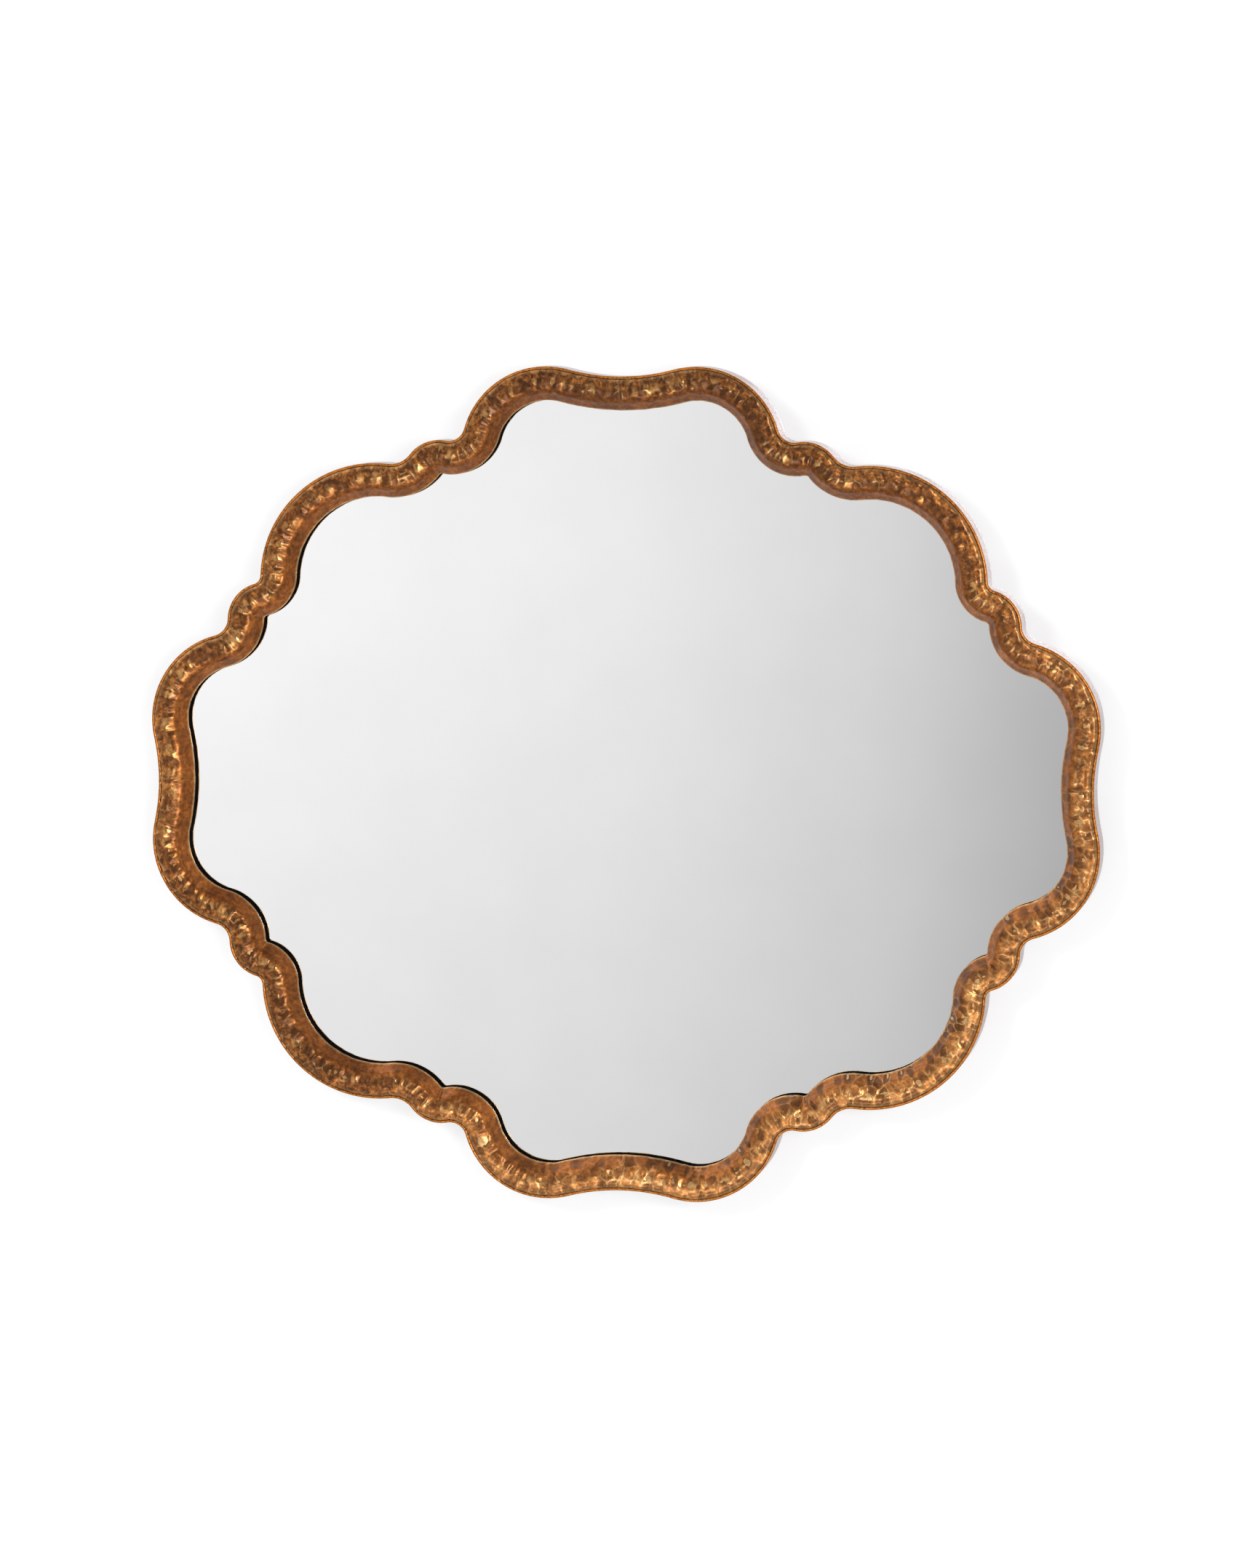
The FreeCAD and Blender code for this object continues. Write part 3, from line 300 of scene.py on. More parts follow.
def quarter_outline():
    """The arcs of one quarter, each with the angles where it meets its neighbours."""
    top_lobe = Arc(HALF_WIDTH * TOP_LOBE_ACROSS, HALF_HEIGHT - TOP_LOBE, TOP_LOBE, True)
    upper_bump = placed(UPPER_BUMP_PLACE, BUMP)
    shoulder = placed(SHOULDER_PLACE, SHOULDER)
    side_bump = placed(SIDE_BUMP_PLACE, BUMP)
    side_lobe = Arc(HALF_WIDTH - SIDE_LOBE, HALF_HEIGHT * SIDE_LOBE_UP, SIDE_LOBE, True)
    top_radius = dip_radius(top_lobe.centre.x, TOP_LOBE, TOP_DIP)
    side_radius = dip_radius(side_lobe.centre.y, SIDE_LOBE, SIDE_DIP)
    chain = [Arc(0, DRAWN_AT + top_radius, top_radius, False),
             top_lobe, valley(top_lobe, upper_bump, LOBE_VALLEY),
             upper_bump, valley(upper_bump, shoulder, UPPER_VALLEY),
             shoulder, valley(shoulder, side_bump, LOWER_VALLEY),
             side_bump, valley(side_bump, side_lobe, SIDE_VALLEY),
             side_lobe, Arc(HALF_WIDTH - SIDE_DIP + side_radius, 0, side_radius, False)]
    for before, after in zip(chain, chain[1:]):
        towards = after.centre - before.centre
        before.leave = math.atan2(towards.y, towards.x)
        after.enter = math.atan2(-towards.y, -towards.x)
    chain[0].enter = -math.pi / 2
    chain[-1].leave = math.pi
    for arc in chain:
        sweep = arc.enter - arc.leave if arc.bulges else arc.leave - arc.enter
        sweep %= 2 * math.pi
        arc.leave = arc.enter - sweep if arc.bulges else arc.enter + sweep
    return chain


QUARTER = quarter_outline()


# Mesh building: a section is drawn standing at the top middle, then turned about each arc's centre

def new_section():
    """An empty mesh whose vertices can note their place on the band and the finish there."""
    bm = bmesh.new()
    for name in NOTES:
        bm.verts.layers.float.new(name)
    return bm


def layer(bm, name):
    return bm.verts.layers.float[name]


def stood(inset, height):
    """A point of the section at the top middle, in metres."""
    return Vector((0, -height, DRAWN_AT - inset)) * MM


def run_to(bm, vert, inset, height, pieces=1):
    """Draws a straight line on from a vertex, in equal pieces."""
    step = (stood(inset, height) - vert.co) / pieces
    for _ in range(pieces):
        made = bmesh.ops.extrude_vert_indiv(bm, verts=[vert])["verts"]
        bmesh.ops.translate(bm, verts=made, vec=step)
        vert = made[0]
    return vert


def bend_to(bm, vert, centre, angle, pieces):
    """Draws an arc on from a vertex, about a point of the section, in equal pieces."""
    made = bmesh.ops.spin(bm, geom=[vert], cent=stood(*centre), axis=(1, 0, 0), angle=angle, steps=pieces)
    return [item for item in made["geom_last"] if isinstance(item, bmesh.types.BMVert)][0]


def close_line(bm, last, first):
    """Joins the end of the drawn section to its start."""
    bm.edges.new((last, first))


def sweep(bm, arcs, spacing):
    """Turns the drawn section about each arc's centre, and notes how far along the rim each vertex is.

    The turns go in steps of a few millimetres or degrees, and cuts between them make the fine mesh.
    """
    along = layer(bm, "along")
    line = list(bm.verts) + list(bm.edges)
    start = 0.0
    for arc in arcs:
        turn = arc.enter - arc.leave
        rim = arc.radius_at(RIM)
        steps = math.ceil(max(abs(turn) * rim / spacing / (CUTS + 1), abs(turn) / TURN_STEP))
        first = len(bm.verts)
        centre = Vector((arc.centre.x, 0, arc.centre.y)) * MM
        made = bmesh.ops.spin(bm, geom=line, cent=centre, axis=(0, 1, 0), angle=turn, steps=steps)
        line = made["geom_last"]
        for vert in list(bm.verts)[first:]:
            vert[along] = start + arc.walked(vert.co.x / MM, vert.co.z / MM) * rim
        start += arc.length(RIM)
    lengthwise = [edge for edge in bm.edges
                  if abs(edge.verts[0][along] - edge.verts[1][along]) > SAME_TURN]
    bmesh.ops.subdivide_edges(bm, edges=lengthwise, cuts=CUTS, use_grid_fill=True)


def finish_piece(bm, name, corner, finish, stands_for):
    """Closes a swept length's ends, mirrors it to its corner and makes it a piece of the model."""
    rims = [edge for edge in bm.edges if edge.is_boundary]
    for end in bmesh.ops.holes_fill(bm, edges=rims, sides=0)["faces"]:
        for edge in end.edges:
            edge.smooth = False
    side, level = CORNERS[corner]
    bmesh.ops.scale(bm, vec=(side, 1, level), verts=bm.verts)
    bmesh.ops.recalc_face_normals(bm, faces=bm.faces)
    for face in bm.faces:
        face.smooth = True
    mesh = bpy.data.meshes.new(name)
    bm.to_mesh(mesh)
    bm.free()
    piece = bpy.data.objects.new(name, mesh)
    bpy.context.scene.collection.objects.link(piece)
    mesh.materials.append(finish)
    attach(piece, "root")
    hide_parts(stands_for)
    return piece


# Hammering

def smoothstep(low, high, value):
    """Rises smoothly from 0 at the low value to 1 at the high one."""
    share = min(1.0, max(0.0, (value - low) / (high - low)))
    return share * share * (3 - 2 * share)


def hump(value, middle, width):
    """A smooth hill, 1 at its middle."""
    return math.exp(-((value - middle) / width) ** 2)


class Beating:
    """The hammer's work on one quarter: crosswise hollows beside the rim, rounder ones on the slope."""

    def __init__(self, corner, sizes):
        self.number = 1 + list(CORNERS).index(corner)
        self.rubbing = RUBBED[corner]
        self.shine = BURNISHED_HIGHLIGHT[corner]
        self.scalloped = SCALLOPED[corner]
        self.long = sizes.mark_length / MM
        self.round = sizes.round_mark / MM
        self.depth = sizes.mark_depth / MM
        self.length = sum(arc.length(RIM) for arc in QUARTER)
        self.struck = {}
        # Marks crowd together, and the sheet is pleated, where it is gathered round a tight hollow
        width = sizes.mark_width / MM * SPACED[corner]
        self.starts, self.counts, self.rates = [], [], []
        self.pleats = [RIBS[corner]]
        start = count = 0.0
        for arc in QUARTER:
            rate = (CROWDING if arc.gathers() else 1.0) / width
            self.starts.append(start)
            self.counts.append(count)
            self.rates.append(rate)
            if arc.gathers():
                self.pleats.append((start, arc.length(RIM), PLEAT, 1.0))
            start += arc.length(RIM)
            count += arc.length(RIM) * rate

    def noise_at(self, x, y, size, seed):
        """Smooth noise of the quarter's own, from -1 to 1, whose spots have that size along x and y."""
        return noise.noise(Vector((x / size[0], y / size[1], seed * self.number)))

    def marks_before(self, along):
        """How many marks lie between the quarter's start and a place along it."""
        at = max(0, bisect.bisect(self.starts, along) - 1)
        return self.counts[at] + (along - self.starts[at]) * self.rates[at]

    def share(self, values, along):
        """A value between those given for the start, the middle and the end of the quarter."""
        place = 2 * min(1.0, max(0.0, along / self.length))
        first = min(1, math.floor(place))
        return values[first] + (values[first + 1] - values[first]) * (place - first)

    def rubbed(self, along):
        """How far this part of the quarter was rubbed back."""
        return self.share(self.rubbing, along)

    def burnished(self, along, across):
        """How far the spot was polished by the hammer's face, in crosswise patches, which the wear also
        paints paler as a highlight on the crown.
        """
        amount = self.share(self.shine, along)
        spot = self.noise_at(along, across, BURNISHED_PATCH, 13.9)
        spot += 0.3 * self.noise_at(along, across, BURNISHED_FLECK, 17.3)
        # The more of the crown is burnished, the lower the noise that counts as a patch
        return smoothstep(0.33 - 0.45 * amount, 0.63 - 0.45 * amount, spot)

    def pleat(self, along, across):
        """Height, from 0 to 1, of the crosswise pleats and ribs."""
        height = 0.0
        for start, length, spacing, strength in self.pleats:
            past = along - start - length / 2
            if abs(past) < length / 2:
                window = smoothstep(0, 0.5, 1 - 2 * abs(past) / length) * hump(across, *PLEAT_STRIPE)
                bent = PLEAT_BEND * self.noise_at(across, start, PLEAT_BEND_SIZE, 1)
                fold = max(0.0, math.cos(2 * math.pi * past / spacing + bent)) ** 1.3
                height += strength * window * fold
        return height

    def seam(self, along, across):
        """Height, from 0 to 1, of the sheet's raised edge at either end of the quarter."""
        stray = SEAM_STRAY * self.noise_at(across, 0, (SEAM_STRAY_LENGTH, 1), 1)
        return hump(min(along, self.length - along) + stray, SEAM_INSET, SEAM_WIDTH)

    def blow(self, column, row):
        """Middle and force of one blow of the hammer, in steps of marks."""
        if (column, row) not in self.struck:
            draw = random.Random("%d %d %d" % (self.number, column, row))
            across = column + 0.5 * (row % 2) + draw.uniform(*SCATTER)
            force = draw.uniform(*(WEAK_BLOW if draw.random() < WEAK_SHARE else STRONG_BLOW))
            self.struck[column, row] = (across, row + draw.uniform(*SCATTER), force)
        return self.struck[column, row]

    def mark(self, along, across):
        """How deep the spot lies in its mark, and how near it is to the ridge between two marks."""
        spot = Vector((along / WANDER_LENGTH, across / WANDER_LENGTH, 11.3 * self.number))
        wander = noise.noise_vector(spot) * WANDER
        inset = across + wander.y
        rows = min(inset, ROUND_MARKS) / self.long + max(0.0, inset - ROUND_MARKS) / self.round
        count = self.marks_before(along + wander.x)
        near = []
        for row in range(math.floor(rows) - 1, math.floor(rows) + 2):
            first = math.floor(count - 0.5 * (row % 2)) - 1
            for column in range(first, first + 3):
                middle, middle_row, force = self.blow(column, row)
                near.append((math.hypot(middle - count, middle_row - rows), force))
        near.sort()
        (nearest, force), (second, _) = near[:2]
        hollow = max(0.0, 1 - (nearest / HOLLOW_REACH) ** 2) * force
        ridge = (1 - smoothstep(0.0, RIDGE_HALF, second - nearest)) * smoothstep(*RIDGE_START, nearest)
        return hollow, ridge

    def crease(self, along):
        """How near the place along the bead is to the ridge between two marks."""
        return self.mark(along, CREASE_INSET)[1]

    def spot(self, along, across):
        """What the beating left at a spot: all but its place runs from 0 to 1."""
        hollow, ridge = self.mark(along, across)
        rubbed = self.rubbed(along)
        # The slope was beaten more calmly than the crown, least so where the patina was rubbed back
        calm = 1 - (0.85 - 0.6 * rubbed) * smoothstep(*MARKS_FADE, across)
        return SimpleNamespace(
            along=along,
            across=across,
            hollow=hollow,
            ridge=ridge,
            rubbed=rubbed,
            calm=calm,
            pleat=self.pleat(along, across),
            seam=self.seam(along, across),
            crease=self.scalloped * self.crease(along) if across < BULGE_FADE[1] else 0.0)

    def lift(self, spot):
        """How far the spot stands out of the plain section, in mm."""
        wavy = 1 - 0.85 * smoothstep(*WAVES_FADE, spot.across)
        # Marks look deeper where the patina was rubbed back
        struck = self.depth * (0.3 + 0.7 * min(1.0, 1.6 * spot.rubbed))
        lift = struck * spot.calm * (0.2 - spot.hollow)
        lift += UNEVEN * wavy * self.noise_at(spot.along, spot.across, WAVES, 5.1)
        lift += sum(out * hump(spot.across, inset, width) for out, inset, width in FLATTENED)
        lift += PLEAT_RISE * spot.pleat
        lift += SEAM_RISE * spot.seam
        lift -= SETTLED
        if lift < 0:
            lift = DEEPEST * math.tanh(lift / DEEPEST)
        bulge = OUTER_BULGE * smoothstep(*BULGE_START, spot.across)
        bulge *= 1 - smoothstep(*BULGE_FADE, spot.across)
        bulge *= 1 - CREASE_PRESS * spot.crease
        return lift * smoothstep(*RELIEF_START, spot.across) + bulge

    def wear(self, spot, x, z):
        """How bright the spot's ridge is rubbed, how dark its hollow stayed, how far the patina around was
        rubbed back and how far the spot was burnished."""
        patch = self.noise_at(x, z, LARGE_PATCH, 3.7) + 0.8 * self.noise_at(x, z, SMALL_PATCH, 7.3)
        # Ridges, seams and the lip were rubbed bright; the pleats are rubbed and painted paler as
        # highlights, and the rim
        #         # beside the bead is painted lighter to lift the groove's shade, with painted highlights
        #         at the creases
        ridge = spot.ridge * spot.calm * max(0.0, 0.05 + 0.55 * spot.rubbed + 0.5 * patch)
        edges = 0.2 * spot.pleat + 0.15 * spot.seam + 0.5 * smoothstep(*LIP_START, spot.across)
        edges += (0.35 + 0.3 * spot.crease) * (1 - smoothstep(*RIM_PAINTED_LIGHT_FADE, spot.across))
        # Hollows keep their dark patina. The stripe inside the crown between the burnished patches is
        # painted shade, which breaks up the front lamp's highlight there
        polish_and_highlight = self.burnished(spot.along, spot.across)
        painted_shade = 0.9 * hump(spot.across, *PAINTED_SHADE_STRIPE) * (1 - polish_and_highlight) * (1 - spot.rubbed)
        hollows_and_painted_shade = max(painted_shade, min(1.0, spot.hollow * 1.3) * (0.3 + 0.7 * spot.rubbed))
        # The burnished patches on the crown's stripe and the pleats are painted paler, as highlights where
        # the front lamp's light falls
        shine = min(1.0, hump(spot.across, *BURNISH_HIGHLIGHT_STRIPE) * polish_and_highlight + 0.8 * spot.pleat)
        return min(1.0, ridge + edges), hollows_and_painted_shade, spot.rubbed, shine


def under_crown(height):
    """Eases a height below the crown's, so that the highest ridges stay rounded."""
    over = height - CROWN + HEADROOM
    return CROWN - HEADROOM * math.exp(-over / HEADROOM) if over > 0 else height


def draw_face_section(bm):
    """The hammered sheet: ledge, crown, slope, hem and back. Vertices of the beaten side are marked."""
    rise = CROWN - LEDGE
    reach = CROWN_INSET - GROOVE_INSET
    outer = (reach ** 2 + rise ** 2) / (2 * rise)
    tilt = math.asin(reach / outer)
    away = Vector((BAND - CROWN_INSET, LIP - CROWN + INNER_CROWN))
    touch = math.atan2(away.y, away.x) + math.acos(INNER_CROWN / away.length)
    fall = math.pi / 2 - touch

    def on_inner(radius):
        return (CROWN_INSET + radius * math.cos(touch), CROWN - INNER_CROWN + radius * math.sin(touch))

    inner_centre = (CROWN_INSET, CROWN - INNER_CROWN)
    outer_centre = (CROWN_INSET, CROWN - outer)
    first = bm.verts.new(stood(STRIP_THICK, LEDGE))
    vert = run_to(bm, first, GROOVE_INSET, LEDGE, pieces=3)
    vert = bend_to(bm, vert, outer_centre, tilt, pieces=12)
    vert = bend_to(bm, vert, inner_centre, fall, pieces=17)
    lip_centre = (BAND - LIP_ROUNDING, LIP - LIP_ROUNDING * (1 - math.cos(touch)) / math.sin(touch))
    vert = run_to(bm, vert, lip_centre[0] + LIP_ROUNDING * math.cos(touch),
                  lip_centre[1] + LIP_ROUNDING * math.sin(touch), pieces=15)
    vert = bend_to(bm, vert, lip_centre, touch, pieces=4)
    vert = run_to(bm, vert, BAND, HEM_EDGE)
    across = layer(bm, "across")
    for beaten in bm.verts:
        beaten[across] = DRAWN_AT - beaten.co.z / MM
    vert = run_to(bm, vert, BAND - SHEET, HEM_EDGE)
    slope_inset, slope_height = on_inner(INNER_CROWN - SHEET)
    run = BAND - SHEET - slope_inset
    vert = run_to(bm, vert, BAND - SHEET, slope_height - run * math.cos(touch) / math.sin(touch))
    vert = run_to(bm, vert, slope_inset, slope_height)
    vert = bend_to(bm, vert, inner_centre, -fall, pieces=4)
    under = math.acos((LEDGE - SHEET - outer_centre[1]) / (outer - SHEET))
    vert = bend_to(bm, vert, outer_centre, -under, pieces=3)
    vert = run_to(bm, vert, STRIP_THICK, LEDGE - SHEET)
    close_line(bm, vert, first)


def draw_strip_section(bm):
    """The outer strip: bead, smooth side and back flange."""
    bead_height = LEDGE + BEAD_RISE
    first = bm.verts.new(stood(0, bead_height))
    vert = bend_to(bm, first, (BEAD, bead_height), math.pi, pieces=10)
    vert = run_to(bm, vert, 2 * BEAD, LEDGE)
    vert = run_to(bm, vert, STRIP_THICK, LEDGE)
    vert = run_to(bm, vert, STRIP_THICK, STRIP_BACK + SHEET)
    vert = run_to(bm, vert, FLANGE, STRIP_BACK + SHEET)
    vert = run_to(bm, vert, FLANGE, STRIP_BACK)
    vert = run_to(bm, vert, 0, STRIP_BACK)
    vert = run_to(bm, vert, 0, bead_height - LAST_EDGE, pieces=8)
    close_line(bm, vert, first)


def make_face_sheet(corner, sizes, finish):
    """One quarter's hammered sheet: the plain section is swept, then beaten along its normals."""
    bm = new_section()
    draw_face_section(bm)
    sweep(bm, QUARTER, sizes.grid / MM)
    along, across, *finishes = [layer(bm, name) for name in NOTES]
    bmesh.ops.recalc_face_normals(bm, faces=bm.faces)
    bm.normal_update()
    beating = Beating(corner, sizes)
    moves = []
    for vert in bm.verts:
        if vert[across] > 2 * BEAD:
            spot = beating.spot(vert[along], vert[across])
            for finish_note, value in zip(finishes, beating.wear(spot, vert.co.x / MM, vert.co.z / MM)):
                vert[finish_note] = value
            moves.append((vert, vert.normal * (beating.lift(spot) * MM)))
    for vert, move in moves:
        vert.co += move
        vert.co.y = -under_crown(-vert.co.y / MM) * MM
    name = "hammered_face_" + corner
    return finish_piece(bm, name, corner, finish, "face_sheet_" + corner)


def make_edge_strip(corner, sizes, finish):
    """One quarter's strip, its bead pressed in beside each crease of the sheet."""
    bm = new_section()
    draw_strip_section(bm)
    sweep(bm, QUARTER, STRIP_GRID)
    along, worn, rubbed = [layer(bm, name) for name in ("along", "worn", "rubbed")]
    bmesh.ops.recalc_face_normals(bm, faces=bm.faces)
    bm.normal_update()
    beating = Beating(corner, sizes)
    scallop = sizes.scallop / MM * beating.scalloped
    for vert in bm.verts:
        top = smoothstep(LEDGE - BEAD_FADE, LEDGE + BEAD_FADE, -vert.co.y / MM)
        vert[worn] = top
        vert[rubbed] = beating.rubbed(vert[along])
        if top > 0:
            crease = beating.crease(vert[along])
            sway = noise.noise(Vector((vert[along] / BEAD_UNEVEN_LENGTH, 9.7 * beating.number, 0)))
            vert.co.y += (scallop * crease + BEAD_UNEVEN + BEAD_UNEVEN * sway) * MM * top
    name = "rolled_strip_" + corner
    return finish_piece(bm, name, corner, finish, "edge_strip_" + corner)


# Materials

def new_material(name):
    """An empty finish, with its node tree and shader."""
    material = bpy.data.materials.new(name)
    material.use_nodes = True
    tree = material.node_tree
    return material, tree, tree.nodes["Principled BSDF"]


def add_node(tree, kind, inputs=None, stops=(), **settings):
    """Adds a node with its settings and any colour stops, and links or sets its inputs."""
    node = tree.nodes.new(kind)
    for name, value in settings.items():
        setattr(node, name, value)
    for name, value in (inputs or {}).items():
        if isinstance(value, bpy.types.NodeSocket):
            tree.links.new(value, node.inputs[name])
        else:
            node.inputs[name].default_value = value
    if stops:
        elements = node.color_ramp.elements
        elements.remove(elements[1])
        for number, (position, colour) in enumerate(stops):
            stop = elements.new(position) if number else elements[0]
            stop.position = position
            stop.color = (*colour, 1.0)
    return node


def per_metre(length_mm):
    """Scale of a pattern whose marks are that many millimetres apart."""
    return 1 / (length_mm * MM)


def make_hammered_copper(tones):
    """Copper sheet, hammered and darkened to a brown patina, then rubbed back on its high spots and waxed.

    The hollows stay dark brown and purplish, the ridges between them shine gold, and the whole is
    speckled where the patina took unevenly. Light and shade are painted in too: painted shade on the crown
    between its burnished patches, a paler painted highlight on those patches and on the ribs, and lighter
    copper painted over the groove beside the bead.
    """
    material, tree, shader = new_material("hammered_copper_patina")
    place = add_node(tree, "ShaderNodeTexCoord").outputs["Object"]
    worn, hollow, across, rubbed, burnished = [
        add_node(tree, "ShaderNodeAttribute", attribute_name=name).outputs["Fac"]
        for name in ("worn", "hollow", "across", "rubbed", "burnished")]
    # Clouds, specks and stains of the patina: size in mm, detail, roughness and how far they are bent
    cloud, speckle, stains = [
        add_node(tree, "ShaderNodeTexNoise", {"Vector": place, "Scale": per_metre(size), "Detail": detail,
                                              "Roughness": rough, "Distortion": bent}).outputs["Fac"]
        for size, detail, rough, bent in ((7, 4.0, 0.6, 0.6), (3.4, 4.0, 0.62, 0.4), (8.5, 3.0, 0.6, 0.9))]
    grain = add_node(tree, "ShaderNodeMix", {"Factor": 0.4, "A": cloud, "B": speckle}).outputs["Result"]
    tone = add_node(tree, "ShaderNodeValToRGB", {"Fac": grain},
                    ((0.41, tones.dark_patina), (0.5, tones.patina), (0.6, tones.light_patina))).outputs[0]

    # What lies over the patina: the share of it, between which values it comes in, how much and its colour
    for share, low, high, most, colour in ((rubbed, 0.1, 0.9, 0.7, tones.olive),
                                           (stains, 0.53, 0.68, 0.4, tones.stains),
                                           (across, 12.0, 23.0, 0.7, tones.slope),
                                           # Hollows, and the painted shade on the crown between the
                                           # burnished patches
                                           (hollow, 0.05, 0.75, 0.85, tones.hollows),
                                           # Rubbed ridges, and the painted light on the rim beside the bead
                                           # and on the pleats
                                           (worn, 0.1, 0.75, 0.85, tones.ridges),
                                           # Burnished patches and ribs: real burnish, painted paler as
                                           # highlights
                                           (burnished, 0.2, 1.0, 0.6, tones.polished)):
        factor = add_node(tree, "ShaderNodeMapRange", {"Value": share, "From Min": low, "From Max": high,
                                                       "To Min": 0.0, "To Max": most}).outputs[0]
        tone = add_node(tree, "ShaderNodeMix", {"Factor": factor, "A": tone, "B": (*colour, 1.0)},
                        data_type="RGBA").outputs["Result"]

    # Specks lighten or darken every tone, and the tone is darker as a whole where the rubbed value is below
    # 0.12, mostly along the top
    flecks = add_node(tree, "ShaderNodeMapRange", {"Value": speckle, "From Min": 0.36, "From Max": 0.64,
                                                   "To Min": 0.72, "To Max": 1.28}).outputs[0]
    depth = add_node(tree, "ShaderNodeMapRange", {"Value": rubbed, "From Min": 0.0, "From Max": 0.12,
                                                  "To Min": 0.69, "To Max": 1.0}).outputs[0]
    flecks = add_node(tree, "ShaderNodeMath", {0: flecks, 1: depth}, operation="MULTIPLY").outputs[0]
    tone = add_node(tree, "ShaderNodeMix", {"Factor": 1.0, "A": tone, "B": flecks}, data_type="RGBA",
                    blend_type="MULTIPLY").outputs["Result"]
    tree.links.new(tone, shader.inputs["Base Color"])

    # The hammer's face leaves the sheet smoother where it burnished it, and the specks are rougher
    smooth = add_node(tree, "ShaderNodeMapRange", {"Value": burnished,
                                                   "To Min": 0.28, "To Max": 0.13}).outputs[0]
    rough = add_node(tree, "ShaderNodeMath", {0: speckle, 1: 0.14, 2: smooth},
                     operation="MULTIPLY_ADD").outputs[0]
    tree.links.new(rough, shader.inputs["Roughness"])
    shader.inputs["Metallic"].default_value = 1.0
    shader.inputs["Coat Weight"].default_value = 0.25
    shader.inputs["Coat Roughness"].default_value = 0.2
    bump = add_node(tree, "ShaderNodeBump", {"Height": speckle, "Strength": 0.6, "Distance": 0.04 * MM})
    tree.links.new(bump.outputs["Normal"], shader.inputs["Normal"])
    return material


def make_smooth_copper(tones):
    """Smooth copper strip: its side tarnished to a lilac grey, its bead burnished brown and gold."""
    material, tree, shader = new_material("tarnished_copper_strip")
    place = add_node(tree, "ShaderNodeTexCoord").outputs["Object"]
    bead, rubbed = [add_node(tree, "ShaderNodeAttribute", attribute_name=name).outputs["Fac"]
                    for name in ("worn", "rubbed")]
    # Clouds of tarnish and fine specks: size in mm and roughness
    cloud, speckle = [
        add_node(tree, "ShaderNodeTexNoise", {"Vector": place, "Scale": per_metre(size), "Detail": 4.0,
                                              "Roughness": rough}).outputs["Fac"]
        for size, rough in ((22, 0.5), (2.4, 0.65))]
    side = add_node(tree, "ShaderNodeValToRGB", {"Fac": cloud},
                    ((0.52, tones.tarnish), (0.85, tones.strip_brown))).outputs[0]
    brown = add_node(tree, "ShaderNodeMapRange", {"Value": rubbed, "From Min": 0.5, "From Max": 0.8,
                                                  "To Min": 0.0, "To Max": 0.4}).outputs[0]
    side = add_node(tree, "ShaderNodeMix", {"Factor": brown, "A": side, "B": (*tones.strip_brown, 1.0)},
                    data_type="RGBA").outputs["Result"]
    rolled = add_node(tree, "ShaderNodeValToRGB", {"Fac": speckle},
                      ((0.36, tones.patina), (0.6, tones.light_patina))).outputs[0]
    tone = add_node(tree, "ShaderNodeMix", {"Factor": bead, "A": side, "B": rolled},
                    data_type="RGBA").outputs["Result"]
    tree.links.new(tone, shader.inputs["Base Color"])
    shader.inputs["Metallic"].default_value = 1.0
    rough = add_node(tree, "ShaderNodeMapRange", {"Value": speckle, "From Min": 0.3, "From Max": 0.7,
                                                  "To Min": 0.22, "To Max": 0.36}).outputs[0]
    tree.links.new(rough, shader.inputs["Roughness"])
    bump = add_node(tree, "ShaderNodeBump", {"Height": speckle, "Strength": 0.4, "Distance": 0.06 * MM})
    tree.links.new(bump.outputs["Normal"], shader.inputs["Normal"])
    return material


def make_silvered_glass(tones):
    """Float glass silvered on its back: a nearly perfect mirror of a neutral pale grey."""
    material, tree, shader = new_material("silvered_float_glass")
    place = add_node(tree, "ShaderNodeTexCoord").outputs["Object"]
    # The silvering's faint haze lies in clouds of 60 mm
    haze = add_node(tree, "ShaderNodeTexNoise", {"Vector": place, "Scale": per_metre(60),
                                                 "Detail": 3.0}).outputs["Fac"]
    tone = add_node(tree, "ShaderNodeValToRGB", {"Fac": haze},
                    ((0.3, tones.silver), (0.7, tones.silver_haze))).outputs[0]
    tree.links.new(tone, shader.inputs["Base Color"])
    rough = add_node(tree, "ShaderNodeMapRange", {"Value": haze,
                                                  "To Min": 0.004, "To Max": 0.02}).outputs[0]
    tree.links.new(rough, shader.inputs["Roughness"])
    shader.inputs["Metallic"].default_value = 1.0
    return material


def make_grained(name, stops, grain_mm, rough, metallic=0.0, bump_mm=0.05, specular=0.5):
    """A finish whose tones, roughness and small bumps follow one grain of a real size, and its clouds."""
    material, tree, shader = new_material(name)
    place = add_node(tree, "ShaderNodeTexCoord").outputs["Object"]
    fine, cloud = [
        add_node(tree, "ShaderNodeTexNoise", {"Vector": place, "Scale": per_metre(size), "Detail": 4.0,
                                              "Roughness": 0.65}).outputs["Fac"]
        for size in (grain_mm, 25 * grain_mm)]
    grain = add_node(tree, "ShaderNodeMix", {"Factor": 0.35, "A": fine, "B": cloud}).outputs["Result"]
    tone = add_node(tree, "ShaderNodeValToRGB", {"Fac": grain}, stops).outputs[0]
    tree.links.new(tone, shader.inputs["Base Color"])
    spread = add_node(tree, "ShaderNodeMapRange", {"Value": grain, "From Min": 0.3, "From Max": 0.7,
                                                   "To Min": rough[0], "To Max": rough[1]}).outputs[0]
    tree.links.new(spread, shader.inputs["Roughness"])
    shader.inputs["Metallic"].default_value = metallic
    shader.inputs["Specular IOR Level"].default_value = specular
    bump = add_node(tree, "ShaderNodeBump", {"Height": grain, "Strength": 0.6, "Distance": bump_mm * MM})
    tree.links.new(bump.outputs["Normal"], shader.inputs["Normal"])
    return material


def dress(material, *nodes):
    """Gives CAD nodes their finish."""
    for name in nodes:
        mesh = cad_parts[name].data
        mesh.materials.clear()
        mesh.materials.append(material)


# What a user may change

